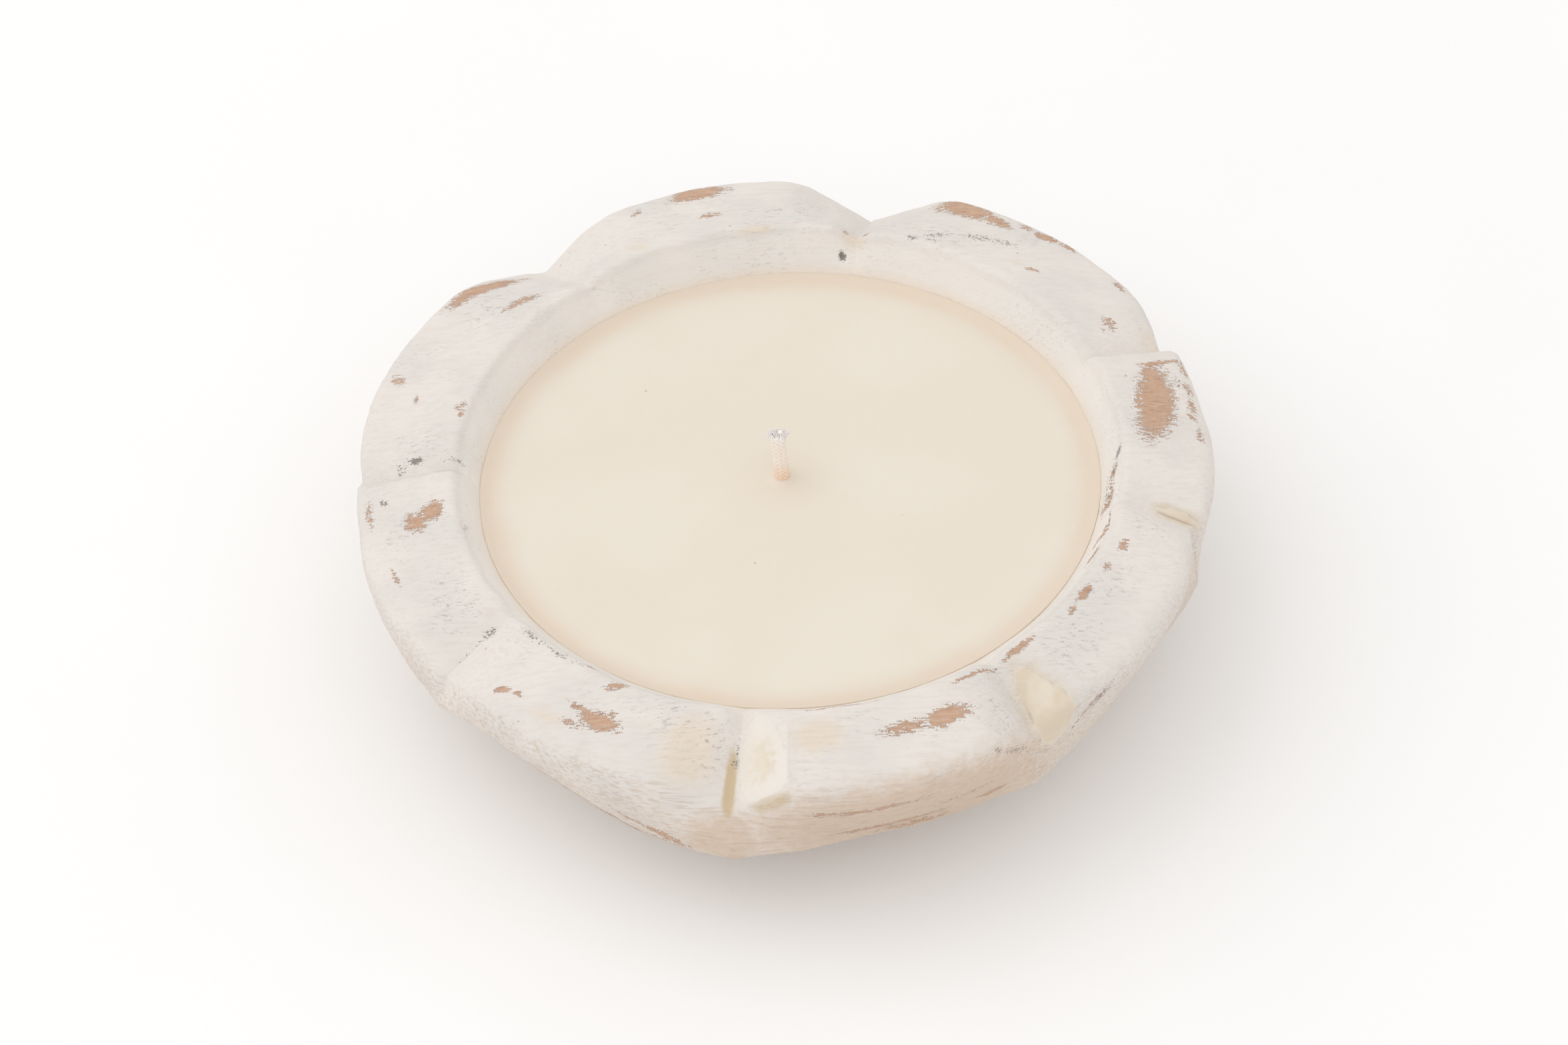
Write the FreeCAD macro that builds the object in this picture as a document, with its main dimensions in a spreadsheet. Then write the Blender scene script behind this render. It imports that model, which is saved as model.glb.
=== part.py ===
import FreeCAD, Part
import os
import Sketcher
from FreeCAD import Vector

# A poured candle in a hand-carved wooden bowl.  The bowl is one block with eight uneven petals,
# parted by V-shaped grooves that run outwards and down from the lip.  Origin: the middle of the
# flat underside, +Z up, the deepest groove towards -Y.

SIZES = {
    # outside of the bowl
    "petal_radius": 78.0,
    "bowl_height": 44.0,
    "base_radius": 49.0,
    "edge_height": 20.0,
    "edge_corner_radius": 76.5,
    "edge_bulge": 1.8,
    "belly_height": 33.0,
    "belly_corner_radius": 73.0,
    "shoulder_height": 40.0,
    "shoulder_inset": 4.5,
    "shoulder_corner_radius": 70.0,
    # hollow
    "lip_radius": 60.5,
    "mouth_radius": 59.0,
    "wax_radius": 56.0,
    "floor_radius": 50.0,
    "floor_corner": 5.0,
    "floor_height": 9.0,
    "wax_recess": 8.0,
    # V-shaped grooves between the petals, and the filler in the root of three of them
    "groove_start_radius": 58.0,
    "groove_start_depth": 2.5,
    "groove_length": 36.0,
    "groove_run_in": 14.0,
    "groove_depth": 16.0,
    "groove_half_width": 21.0,
    # wick and what holds it to the floor
    "wick_diameter": 2.7,
    "core_diameter": 0.9,
    "wick_shown": 11.6,
    "wick_x": -1.3,
    "wick_y": 1.9,
    "tuft_height": 2.2,
    "tuft_diameter": 4.0,
    "sticker_diameter": 18.0,
    "sticker_thickness": 0.8,
    "tab_diameter": 20.0,
    "tab_thickness": 0.4,
    "tab_neck_height": 6.0,
}

# Each groove: its direction in degrees, counter-clockwise from +X, and how steeply its root falls.
GROOVES = (
    (-13.0, 26.0),
    (21.0, 22.0),
    (76.0, 24.0),
    (126.0, 24.0),
    (176.0, 22.0),
    (213.0, 24.0),
    (259.0, 36.0),
    (304.0, 30.0),
)

# How far each petal's belly stands out from petal_radius; petal 1 lies between grooves 1 and 2.
PETAL_OFFSETS = (-0.5, 0.5, 0.0, 1.0, 1.0, -0.5, -1.5, -0.5)

# Each filler: its groove, how deep it lies in the root, and where along the root it starts.
FILLERS = {
    "groove_filler_right": (1, 1.3, 6.0),
    "groove_filler_front_right": (8, 2.6, 4.0),
    "groove_filler_front": (7, 1.6, 7.0),
}

# Heights and radii that follow from the driving sizes.
FLOOR = "sizes.floor_height"
WAX_LEVEL = "(sizes.bowl_height - sizes.wax_recess)"
STICKER_TOP = "(sizes.floor_height + sizes.sticker_thickness)"
TAB_TOP = "(%s + sizes.tab_thickness)" % STICKER_TOP
NECK_TOP = "(%s + sizes.tab_neck_height)" % STICKER_TOP
WICK_TOP = "(%s + sizes.wick_shown)" % WAX_LEVEL
WICK_RADIUS = "(sizes.wick_diameter / 2)"
CORE_RADIUS = "(sizes.core_diameter / 2)"
NECK_RADIUS = "(sizes.wick_diameter / 2 + sizes.tab_thickness)"
TAB_RADIUS = "(sizes.tab_diameter / 2)"
STICKER_RADIUS = "(sizes.sticker_diameter / 2)"

doc = FreeCAD.newDocument("candle_bowl")
sheet = doc.addObject("Spreadsheet::Sheet", "sizes")


def fill_sheet():
    """Write every driving size to the sheet, each under its own alias."""
    rows = list(SIZES.items())
    for number, (direction, fall) in enumerate(GROOVES, start=1):
        rows.append(("groove_direction_%d" % number, direction))
        rows.append(("groove_fall_%d" % number, fall))
    for number, offset in enumerate(PETAL_OFFSETS, start=1):
        rows.append(("petal_offset_%d" % number, offset))
    for name, (_, depth, start) in FILLERS.items():
        rows.append((name + "_depth", depth))
        rows.append((name + "_start", start))
    for row, (name, value) in enumerate(rows, start=1):
        sheet.set("A%d" % row, name)
        sheet.set("B%d" % row, str(value))
        sheet.setAlias("B%d" % row, name)
    doc.recompute()


def value_of(expression):
    """The number that an expression on the sheet works out to."""
    return float(sheet.evalExpression(expression))


# ------------------------------------------------------------------ sketches and bodies

def new_body(name):
    body = doc.addObject("PartDesign::Body", name)
    body.Label = name
    return body


def new_sketch(body, name, role):
    """A sketch on one of the body's own origin planes."""
    sketch = body.newObject("Sketcher::SketchObject", name)
    for plane in body.Origin.OriginFeatures:
        if plane.Role == role:
            sketch.AttachmentSupport = (plane, [""])
    sketch.MapMode = "FlatFace"
    return sketch


def bind_point(sketch, edge, across, up):
    """Hold the start of an edge at the place that two expressions give."""
    for kind, expression in (("DistanceX", across), ("DistanceY", up)):
        constraint = sketch.addConstraint(
            Sketcher.Constraint(kind, -1, 1, edge, 1, value_of(expression)))
        sketch.setExpression("Constraints[%d]" % constraint, expression)


def close_loop(sketch, edges):
    for number, edge in enumerate(edges):
        following = edges[(number + 1) % len(edges)]
        sketch.addConstraint(Sketcher.Constraint("Coincident", edge, 2, following, 1))


def profile_sketch(body, name, points, at_wick=False):
    """A closed profile in the XZ plane; points are (radius, height) pairs of expressions."""
    sketch = new_sketch(body, name, "XZ_Plane")
    if at_wick:
        sketch.setExpression("AttachmentOffset.Base.x", "sizes.wick_x")
        sketch.setExpression("AttachmentOffset.Base.z", "-sizes.wick_y")
    places = [Vector(value_of(radius), value_of(height), 0.0) for radius, height in points]
    edges = []
    for number, place in enumerate(places):
        line = Part.LineSegment(place, places[(number + 1) % len(places)])
        edges.append(sketch.addGeometry(line, False))
    close_loop(sketch, edges)
    for edge, (radius, height) in zip(edges, points):
        bind_point(sketch, edge, radius, height)
    return sketch


def turn_profile(body, kind, name, points, at_wick):
    """Turn a profile about the middle of the bowl, or about the wick."""
    sketch = profile_sketch(body, name + "_profile", points, at_wick)
    turned = body.newObject("PartDesign::" + kind, name + "_turned")
    turned.Profile = sketch
    turned.ReferenceAxis = (sketch, ["V_Axis"])
    turned.Angle = 360.0
    doc.recompute()


def revolved_body(name, points, at_wick=True):
    """A body turned about Z from a profile."""
    body = new_body(name)
    turn_profile(body, "Revolution", name, points, at_wick)
    return body


# ------------------------------------------------------------------ carved block

def direction_of(number):
    """The groove's direction; the one after the last is the first, a full turn on."""
    turns, place = divmod(number - 1, len(GROOVES))
    return "(sizes.groove_direction_%d + %d)" % (place + 1, 360 * turns)


def half_petal(number):
    return "((%s - %s) / 2)" % (direction_of(number + 1), direction_of(number))


def chord_depth(number, corner):
    """How far the straight line between a petal's two corners lies from the centre."""
    return "(%s * cos(%s * 1 deg))" % (corner, half_petal(number))


def outline_sketch(body, name, height, corner, rise):
    """Eight arcs that meet at the grooves; rise gives each arc's height over its chord."""
    sketch = new_sketch(body, name, "XY_Plane")
    sketch.setExpression("AttachmentOffset.Base.z", height)
    edges = []
    for number in range(1, len(GROOVES) + 1):
        middle = "(%s + %s)" % (chord_depth(number, corner), rise(number))
        half_way = "((%s + %s) / 2)" % (direction_of(number), direction_of(number + 1))
        places = []
        for radius, angle in (
                (corner, direction_of(number)),
                (middle, half_way),
                (corner, direction_of(number + 1))):
            across = value_of("%s * cos(%s * 1 deg)" % (radius, angle))
            along = value_of("%s * sin(%s * 1 deg)" % (radius, angle))
            places.append(Vector(across, along, 0.0))
        edges.append(sketch.addGeometry(Part.Arc(*places), False))
    close_loop(sketch, edges)
    for number, edge in enumerate(edges, start=1):
        angle = direction_of(number)
        bind_point(
            sketch, edge,
            "%s * cos(%s * 1 deg)" % (corner, angle),
            "%s * sin(%s * 1 deg)" % (corner, angle))
        half_chord = "(%s * sin(%s * 1 deg))" % (corner, half_petal(number))
        radius = "(%s^2 + %s^2) / (2 * %s)" % (half_chord, rise(number), rise(number))
        constraint = sketch.addConstraint(Sketcher.Constraint("Radius", edge, value_of(radius)))
        sketch.setExpression("Constraints[%d]" % constraint, radius)
    return sketch


def round_rise(radius):
    """The rise that makes every arc part of one circle."""
    return lambda number: "(%s - %s)" % (radius, chord_depth(number, radius))


def petal_rise(corner, inset):
    """The rise that brings each petal out to its own radius, less an inset."""
    return lambda number: "(sizes.petal_radius + sizes.petal_offset_%d - %s - %s)" % (
        number, inset, chord_depth(number, corner))


def carve_block():
    """The block with its petals and its hollow, before the grooves are cut."""
    body = new_body("bowl_blank")
    outlines = [
        outline_sketch(
            body, "base_outline", "0 mm", "sizes.base_radius", round_rise("sizes.base_radius")),
        outline_sketch(
            body, "edge_outline", "sizes.edge_height * 1 mm", "sizes.edge_corner_radius",
            lambda number: "sizes.edge_bulge"),
        outline_sketch(
            body, "belly_outline", "sizes.belly_height * 1 mm", "sizes.belly_corner_radius",
            petal_rise("sizes.belly_corner_radius", "0")),
        outline_sketch(
            body, "shoulder_outline", "sizes.shoulder_height * 1 mm",
            "sizes.shoulder_corner_radius",
            petal_rise("sizes.shoulder_corner_radius", "sizes.shoulder_inset")),
        outline_sketch(
            body, "lip_outline", "sizes.bowl_height * 1 mm", "sizes.lip_radius",
            round_rise("sizes.lip_radius")),
    ]
    doc.recompute()
    block = body.newObject("PartDesign::AdditiveLoft", "block")
    block.Profile = outlines[0]
    block.Sections = outlines[1:]
    block.Ruled = True
    doc.recompute()
    hollow = body.newObject("PartDesign::Groove", "hollow")
    hollow.Profile = profile_sketch(body, "hollow_profile", [
        ("0", FLOOR),
        ("sizes.floor_radius - sizes.floor_corner", FLOOR),
        ("sizes.floor_radius", FLOOR + " + sizes.floor_corner"),
        ("sizes.wax_radius", WAX_LEVEL),
        ("sizes.mouth_radius", "sizes.bowl_height"),
        ("sizes.mouth_radius", "sizes.bowl_height + 1"),
        ("0", "sizes.bowl_height + 1")])
    hollow.ReferenceAxis = (hollow.Profile[0], ["V_Axis"])
    hollow.Angle = 360.0
    doc.recompute()
    return body


# ------------------------------------------------------------------ grooves and their filler

def groove_wedge(name, number, depth, start):
    """A wedge that stands on the groove's root line, from start to the groove's far end."""
    wedge = doc.addObject("Part::Wedge", name)
    wedge.Label = name
    half_width = "sizes.groove_half_width * %s / sizes.groove_depth" % depth
    for side, expression in (
            ("Xmin", start),
            ("X2min", start),
            ("Xmax", "sizes.groove_length"),
            ("X2max", "sizes.groove_length"),
            ("Ymin", "-" + depth),
            ("Ymax", "0"),
            ("Zmin", "-" + half_width),
            ("Zmax", half_width),
            ("Z2min", "0"),
            ("Z2max", "0")):
        wedge.setExpression(side, "(%s) * 1 mm" % expression)
    direction = "sizes.groove_direction_%d" % number
    wedge.setExpression("Placement", (
        "placement(vector(sizes.groove_start_radius * cos(%s * 1 deg);"
        " sizes.groove_start_radius * sin(%s * 1 deg);"
        " sizes.bowl_height - sizes.groove_start_depth);"
        " rotation(%s; sizes.groove_fall_%d; -90))") % (direction, direction, direction, number))
    return wedge


def cut_grooves(blank):
    """The finished bowl: the block less its eight grooves."""
    wedges = []
    for number in range(1, len(GROOVES) + 1):
        name = "groove_%d" % number
        wedges.append(groove_wedge(name, number, "sizes.groove_depth", "-sizes.groove_run_in"))
    grooves = doc.addObject("Part::MultiFuse", "grooves")
    grooves.Shapes = wedges
    bowl = doc.addObject("Part::Cut", "carved_bowl")
    bowl.Label = "carved_bowl"
    bowl.Base = blank
    bowl.Tool = grooves
    return bowl


def fill_groove(blank, number, name):
    """The filler in the root of one groove, level with the outside of the block."""
    depth = "sizes.%s_depth" % name
    start = "sizes.%s_start" % name
    wedge = groove_wedge(name + "_wedge", number, depth, start)
    filler = doc.addObject("Part::Common", name)
    filler.Label = name
    filler.Base = blank
    filler.Tool = wedge
    return filler


# ------------------------------------------------------------------ candle

def make_candle():
    """The wax round the middle, and the wick and its holder, which stand a little off it."""
    wax = revolved_body("wax_fill", [
        ("0", FLOOR),
        ("sizes.floor_radius - sizes.floor_corner", FLOOR),
        ("sizes.floor_radius", FLOOR + " + sizes.floor_corner"),
        ("sizes.wax_radius", WAX_LEVEL),
        ("0", WAX_LEVEL)], at_wick=False)
    turn_profile(wax, "Groove", "wick_space", [
        ("0", FLOOR),
        (STICKER_RADIUS, FLOOR),
        (STICKER_RADIUS, STICKER_TOP),
        (TAB_RADIUS, STICKER_TOP),
        (TAB_RADIUS, TAB_TOP),
        (NECK_RADIUS, TAB_TOP),
        (NECK_RADIUS, NECK_TOP),
        (WICK_RADIUS, NECK_TOP),
        (WICK_RADIUS, WAX_LEVEL),
        ("0", WAX_LEVEL)], at_wick=True)
    braid = revolved_body("wick_braid", [
        (CORE_RADIUS, STICKER_TOP),
        (WICK_RADIUS, STICKER_TOP),
        (WICK_RADIUS, WICK_TOP + " - sizes.tuft_height"),
        ("sizes.tuft_diameter / 2", WICK_TOP),
        (CORE_RADIUS, WICK_TOP)])
    core = revolved_body("wick_core", [
        ("0", STICKER_TOP),
        (CORE_RADIUS, STICKER_TOP),
        (CORE_RADIUS, WICK_TOP),
        ("0", WICK_TOP)])
    tab = revolved_body("wick_sustainer", [
        (WICK_RADIUS, STICKER_TOP),
        (TAB_RADIUS, STICKER_TOP),
        (TAB_RADIUS, TAB_TOP),
        (NECK_RADIUS, TAB_TOP),
        (NECK_RADIUS, NECK_TOP),
        (WICK_RADIUS, NECK_TOP)])
    sticker = revolved_body("sustainer_sticker", [
        ("0", FLOOR),
        (STICKER_RADIUS, FLOOR),
        (STICKER_RADIUS, STICKER_TOP),
        ("0", STICKER_TOP)])
    return [wax, braid, core, tab, sticker]


def check_document(subparts):
    """Stop if any object failed or any sub-part isn't one sound solid."""
    for item in doc.Objects:
        if "Invalid" in item.State or "Error" in item.State:
            raise RuntimeError("%s failed to build" % item.Label)
    for subpart in subparts:
        shape = subpart.Shape
        if shape.isNull() or not shape.isValid() or len(shape.Solids) != 1:
            raise RuntimeError("%s isn't one sound solid" % subpart.Label)
        print("%-26s %9.1f mm3" % (subpart.Label, shape.Volume))


def main():
    fill_sheet()
    blank = carve_block()
    subparts = [cut_grooves(blank)]
    for name, (number, _, _) in FILLERS.items():
        subparts.append(fill_groove(blank, number, name))
    subparts += make_candle()
    doc.recompute()
    check_document(subparts)
    os.makedirs("parts", exist_ok=True)
    for subpart in subparts:
        subpart.Shape.exportStep("parts/%s.step" % subpart.Label)


main()
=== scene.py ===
import math
import random

import bmesh
import bpy
from mathutils import Matrix, Vector, noise


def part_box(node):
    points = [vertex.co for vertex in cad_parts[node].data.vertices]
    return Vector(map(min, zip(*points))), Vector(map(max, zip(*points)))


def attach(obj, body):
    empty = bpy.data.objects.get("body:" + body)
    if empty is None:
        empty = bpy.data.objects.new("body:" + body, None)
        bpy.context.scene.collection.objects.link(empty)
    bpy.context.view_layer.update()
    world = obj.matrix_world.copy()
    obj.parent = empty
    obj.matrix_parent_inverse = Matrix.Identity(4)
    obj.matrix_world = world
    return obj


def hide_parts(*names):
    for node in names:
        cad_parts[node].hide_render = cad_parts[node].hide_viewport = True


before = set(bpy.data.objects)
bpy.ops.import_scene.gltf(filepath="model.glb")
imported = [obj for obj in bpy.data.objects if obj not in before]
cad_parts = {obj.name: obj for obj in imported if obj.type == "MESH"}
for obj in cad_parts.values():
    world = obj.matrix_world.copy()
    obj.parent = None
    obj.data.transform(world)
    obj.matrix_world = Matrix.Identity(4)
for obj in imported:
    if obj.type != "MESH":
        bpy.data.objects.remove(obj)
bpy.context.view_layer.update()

bl_info = {
    "name": "Carved candle bowl",
    "version": (1, 0, 0),
    "blender": (4, 5, 0),
    "location": "3D View > Sidebar > Candle bowl",
    "description": "Carves, paints and fills a whitewashed wooden candle bowl",
    "category": "Add Mesh",
}

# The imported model's own places, in metres.
WAX_LOW, WAX_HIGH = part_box("wax_fill")
WICK_LOW, WICK_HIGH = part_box("wick_braid")

# The same places in millimetres, which every shape below is worked out in.
MM = 0.001
WAX_LEVEL = WAX_HIGH[2] / MM
WAX_RADIUS = (WAX_HIGH[0] - WAX_LOW[0]) / 2 / MM
FLOOR_LEVEL = WAX_LOW[2] / MM
WICK_FOOT = WICK_LOW[2] / MM
WICK_TOP = WICK_HIGH[2] / MM
WICK_X = (WICK_LOW[0] + WICK_HIGH[0]) / 2 / MM
WICK_Y = (WICK_LOW[1] + WICK_HIGH[1]) / 2 / MM

# ---------------------------------------------------------------- the bowl's carving

# Each groove between two petals: its direction in degrees, how deep its root lies under the lip
# and under the shoulder, how steeply its clockwise and its counter-clockwise side rise, and the
# radius of the lower edge's corner under it.
GROOVES = (
    (-12.0, 1.6, 3.6, 0.55, 0.45, 74.8),
    (23.0, 1.8, 4.0, 0.70, 0.55, 76.0),
    (76.0, 2.4, 7.4, 0.50, 0.55, 76.0),
    (126.0, 1.6, 5.8, 0.45, 0.35, 77.0),
    (176.0, 2.4, 2.8, 0.50, 0.80, 76.5),
    (213.0, 2.0, 4.8, 0.60, 0.40, 77.0),
    (260.0, 2.2, 6.6, 0.60, 0.70, 77.8),
    (303.5, 2.0, 5.6, 0.60, 0.60, 74.2),
)

# Each petal, counter-clockwise from the first groove: how far its shoulder stands out, how much
# higher than its neighbours it was left, how far the lower edge bows out under it, and how far
# its shoulder draws in at its start and at its end.
PETALS = (
    (77.0, 0.0, 1.2, 3.0, -1.6),
    (79.3, 0.0, 1.2, 3.5, 4.5),
    (78.8, 0.3, 1.2, 4.5, 3.0),
    (80.9, 0.0, 1.2, 4.2, 2.5),
    (78.4, 0.0, 2.4, -0.8, 4.3),
    (76.0, 0.0, 4.0, 3.0, 2.5),
    (76.5, 0.0, 2.4, 2.5, 3.0),
    (75.8, 0.0, 1.6, 3.0, 3.0),
)

# Columns of faces round the bowl.
COLUMNS = 640

# Radius at which the grooves' width and the marks' length are counted.
PETAL_RADIUS = 70.0

# The block was left higher at the back: middle heights of the lip and the shoulder, and how much
# higher each stands at the back.
LIP_HEIGHT = 42.4
LIP_RISE = 1.8
SHOULDER_HEIGHT = 38.9
SHOULDER_RISE = 2.0

# The lower edge climbs round this direction, over this many degrees to either side.
CLIMB_DIRECTION = 222.0
CLIMB_WIDTH = 34.0
CLIMB_HEIGHT = 8.0

# The wall under the lower edge bends at this share of its way up, and is fuller at the left front.
BEND_SHARE = 0.62
FULL_DIRECTION = 240.0
FULL_WIDTH = 24.0

# How softly a groove's root is rounded, and how far the lip wavers.
ROOT_SOFTNESS = 0.26
LIP_WAVER = 0.6

# The hollow's flat floor and the corner round it.
HOLLOW_RADIUS = 45.0
HOLLOW_CORNER = 5.0

# A corner's rounding takes up at most this share of the straight runs beside it.
LONGEST_ROUNDING = 0.45


def smooth(value):
    """Ease from 0 to 1."""
    value = min(max(value, 0.0), 1.0)
    return value * value * (3.0 - 2.0 * value)


def hump(value, middle, half_width):
    """1 at the middle, easing to 0 at half a width to either side."""
    return smooth(1.0 - abs(value - middle) / half_width)


def soft_least(values, softness):
    """The least of several heights, with the corner between two of them rounded."""
    least = min(values)
    total = sum(math.exp((least - value) / softness) for value in values)
    return least - softness * math.log(total)


def groove_directions():
    """The groove directions and, at the end, the first one a full turn on."""
    directions = [groove[0] for groove in GROOVES]
    return directions + [directions[0] + 360.0]


def column_places():
    """Every column's petal, share of the way across it and direction in degrees.

    A column lies along every groove's root."""
    directions = groove_directions()
    starts = [round(COLUMNS * (d - directions[0]) / 360.0) for d in directions]
    places = []
    for petal in range(len(GROOVES)):
        width = starts[petal + 1] - starts[petal]
        for column in range(width):
            share = column / width
            direction = directions[petal] + share * (directions[petal + 1] - directions[petal])
            places.append((petal, share, direction))
    return places


def lip_height(direction):
    """The uncut lip's height in one direction."""
    return LIP_HEIGHT + LIP_RISE * math.sin(math.radians(direction))


def shoulder_height(direction):
    """The uncut shoulder's height in one direction."""
    return SHOULDER_HEIGHT + SHOULDER_RISE * math.sin(math.radians(direction))


def lower_edge_height(direction, shape):
    """The lower edge climbs at the left front, where less of the block was left."""
    climb = CLIMB_HEIGHT * hump(direction, CLIMB_DIRECTION, CLIMB_WIDTH)
    return shape.edge_height / MM + climb


def lower_edge_radius(petal, share, turn):
    """The lower edge runs nearly straight from one groove's corner to the next."""
    near = GROOVES[petal][5]
    far = GROOVES[(petal + 1) % len(GROOVES)][5]
    angle = share * turn
    spread = near * math.sin(angle) + far * math.sin(turn - angle)
    straight = near * far * math.sin(turn) / spread
    return straight + PETALS[petal][2] * (1.0 - (2.0 * share - 1.0) ** 2)


def groove_cut(petal, share, height, depth):
    """The height that the grooves on either side leave, from the uncut height and depth column."""
    directions = groove_directions()
    start, end = directions[petal], directions[petal + 1]
    direction = start + share * (end - start)
    heights = [height(direction) + PETALS[petal][1]]
    following = (petal + 1) % len(GROOVES)
    for groove, side, away in (
            (GROOVES[petal], 4, direction - start),
            (GROOVES[following], 3, end - direction)):
        rise = groove[side] * math.radians(away) * PETAL_RADIUS
        heights.append(height(groove[0]) - groove[depth] + rise)
    return soft_least(heights, ROOT_SOFTNESS)


def section(petal, share, direction, shape):
    """The key points of the bowl's wall in one direction, as (radius, height, rounding)."""
    reach, lift, _, drawn_start, drawn_end = PETALS[petal]
    directions = groove_directions()
    turn = math.radians(directions[petal + 1] - directions[petal])
    edge_radius = lower_edge_radius(petal, share, turn)
    edge_height = lower_edge_height(direction, shape)

    before_middle = max(1.0 - 2.0 * share, 0.0) ** 3
    after_middle = max(2.0 * share - 1.0, 0.0) ** 3
    shoulder_radius = reach - drawn_start * before_middle - drawn_end * after_middle
    lip = groove_cut(petal, share, lip_height, 1)
    shoulder = groove_cut(petal, share, shoulder_height, 2)
    uncut = shoulder_height(direction) + lift
    cut = uncut - shoulder
    cut_radius = shoulder_radius + cut / (uncut - edge_height) * (edge_radius - shoulder_radius)
    shoulder_rounding = 3.2 - 2.2 * smooth(cut / 2.0)

    belly_height = min(shape.belly_height / MM, shoulder - 3.0)
    belly_share = (belly_height - edge_height) / (uncut - edge_height)
    belly_radius = edge_radius + belly_share * (shoulder_radius - edge_radius)
    belly_radius += shape.belly_bulge / MM * (1.0 - (2.0 * share - 1.0) ** 2)
    base_radius = shape.base_radius / MM
    fullness = hump(direction, FULL_DIRECTION, FULL_WIDTH)
    bend_radius = base_radius + BEND_SHARE * (edge_radius - base_radius) + 2.2 * fullness
    bend_height = BEND_SHARE * edge_height - 0.6 * fullness
    waver = LIP_WAVER * noise.noise((direction * 0.11, 3.0, 0.0))
    return [
        (0.0, 0.0, 0.0),
        (base_radius, 0.0, 1.5),
        (bend_radius, bend_height, 3.0),
        (edge_radius, edge_height, 1.1),
        (belly_radius, belly_height, 4.0),
        (cut_radius, shoulder, shoulder_rounding),
        (shape.lip_radius / MM + waver, lip, 1.2),
        (WAX_RADIUS, WAX_LEVEL, 0.5),
        (HOLLOW_RADIUS + HOLLOW_CORNER, FLOOR_LEVEL + HOLLOW_CORNER, 2.0),
        (HOLLOW_RADIUS, FLOOR_LEVEL, 2.0),
        (0.0, FLOOR_LEVEL, 0.0),
    ]


# The numbers of the key points that marks and colours are counted from.
EDGE, SHOULDER, LIP, WAX_EDGE = 3, 5, 6, 7

# How many faces the straight run after each key point has, and how many each corner has.
RUN_FACES = (4, 8, 8, 12, 7, 17, 10, 5, 2, 4)
CORNER_FACES = (0, 2, 3, 4, 6, 7, 5, 2, 2, 2, 0)


def key_row(key):
    """The row of the profile that lies in the middle of a key point's corner."""
    return sum(RUN_FACES[:key]) + sum(CORNER_FACES[:key]) + CORNER_FACES[key] // 2


def rounded_profile(keys):
    """Points along the key points' line with every corner rounded, always the same number."""
    points = [Vector((radius, height)) for radius, height, _ in keys]
    leaving = points[0]
    places = [leaving]
    for number in range(1, len(keys)):
        here = points[number]
        rounding = keys[number][2]
        arriving = here
        if rounding:
            before = points[number - 1] - here
            arriving = here + before * min(rounding / before.length, LONGEST_ROUNDING)
        for step in range(1, RUN_FACES[number - 1] + 1):
            places.append(leaving.lerp(arriving, step / RUN_FACES[number - 1]))
        leaving = here
        if rounding:
            after = points[number + 1] - here
            leaving = here + after * min(rounding / after.length, LONGEST_ROUNDING)
            for step in range(1, CORNER_FACES[number] + 1):
                t = step / CORNER_FACES[number]
                places.append(arriving.lerp(here, t).lerp(here.lerp(leaving, t), t))
    return places


def surface_runs(profile):
    """How far along the surface each row lies, in mm from the middle of the underside."""
    runs = [0.0]
    for first, second in zip(profile, profile[1:]):
        runs.append(runs[-1] + (second - first).length)
    return runs


def turned_blank(bm, profile, steps):
    """Turn a profile a full turn about Z; each vertex keeps its place along the profile."""
    row = bm.verts.layers.int.new("row")
    verts = []
    for number, place in enumerate(profile):
        vert = bm.verts.new((place[0], 0.0, place[1]))
        vert[row] = number
        verts.append(vert)
    edges = [bm.edges.new(pair) for pair in zip(verts, verts[1:])]
    bmesh.ops.spin(
        bm, geom=verts + edges, cent=(0, 0, 0), axis=(0, 0, 1), dvec=(0, 0, 0),
        angle=2 * math.pi, steps=steps, use_merge=True, use_duplicate=False)
    return row


# ---------------------------------------------------------------- marks on the bowl

# Every mark lies some mm outwards and down from a key point of the wall, in a direction in
# degrees. Its half length runs round the bowl and its half width across, turned by its lean.

# How far past its rim a mark still thins out, as a share of its size.
SOFT_RIM = 0.55

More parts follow.
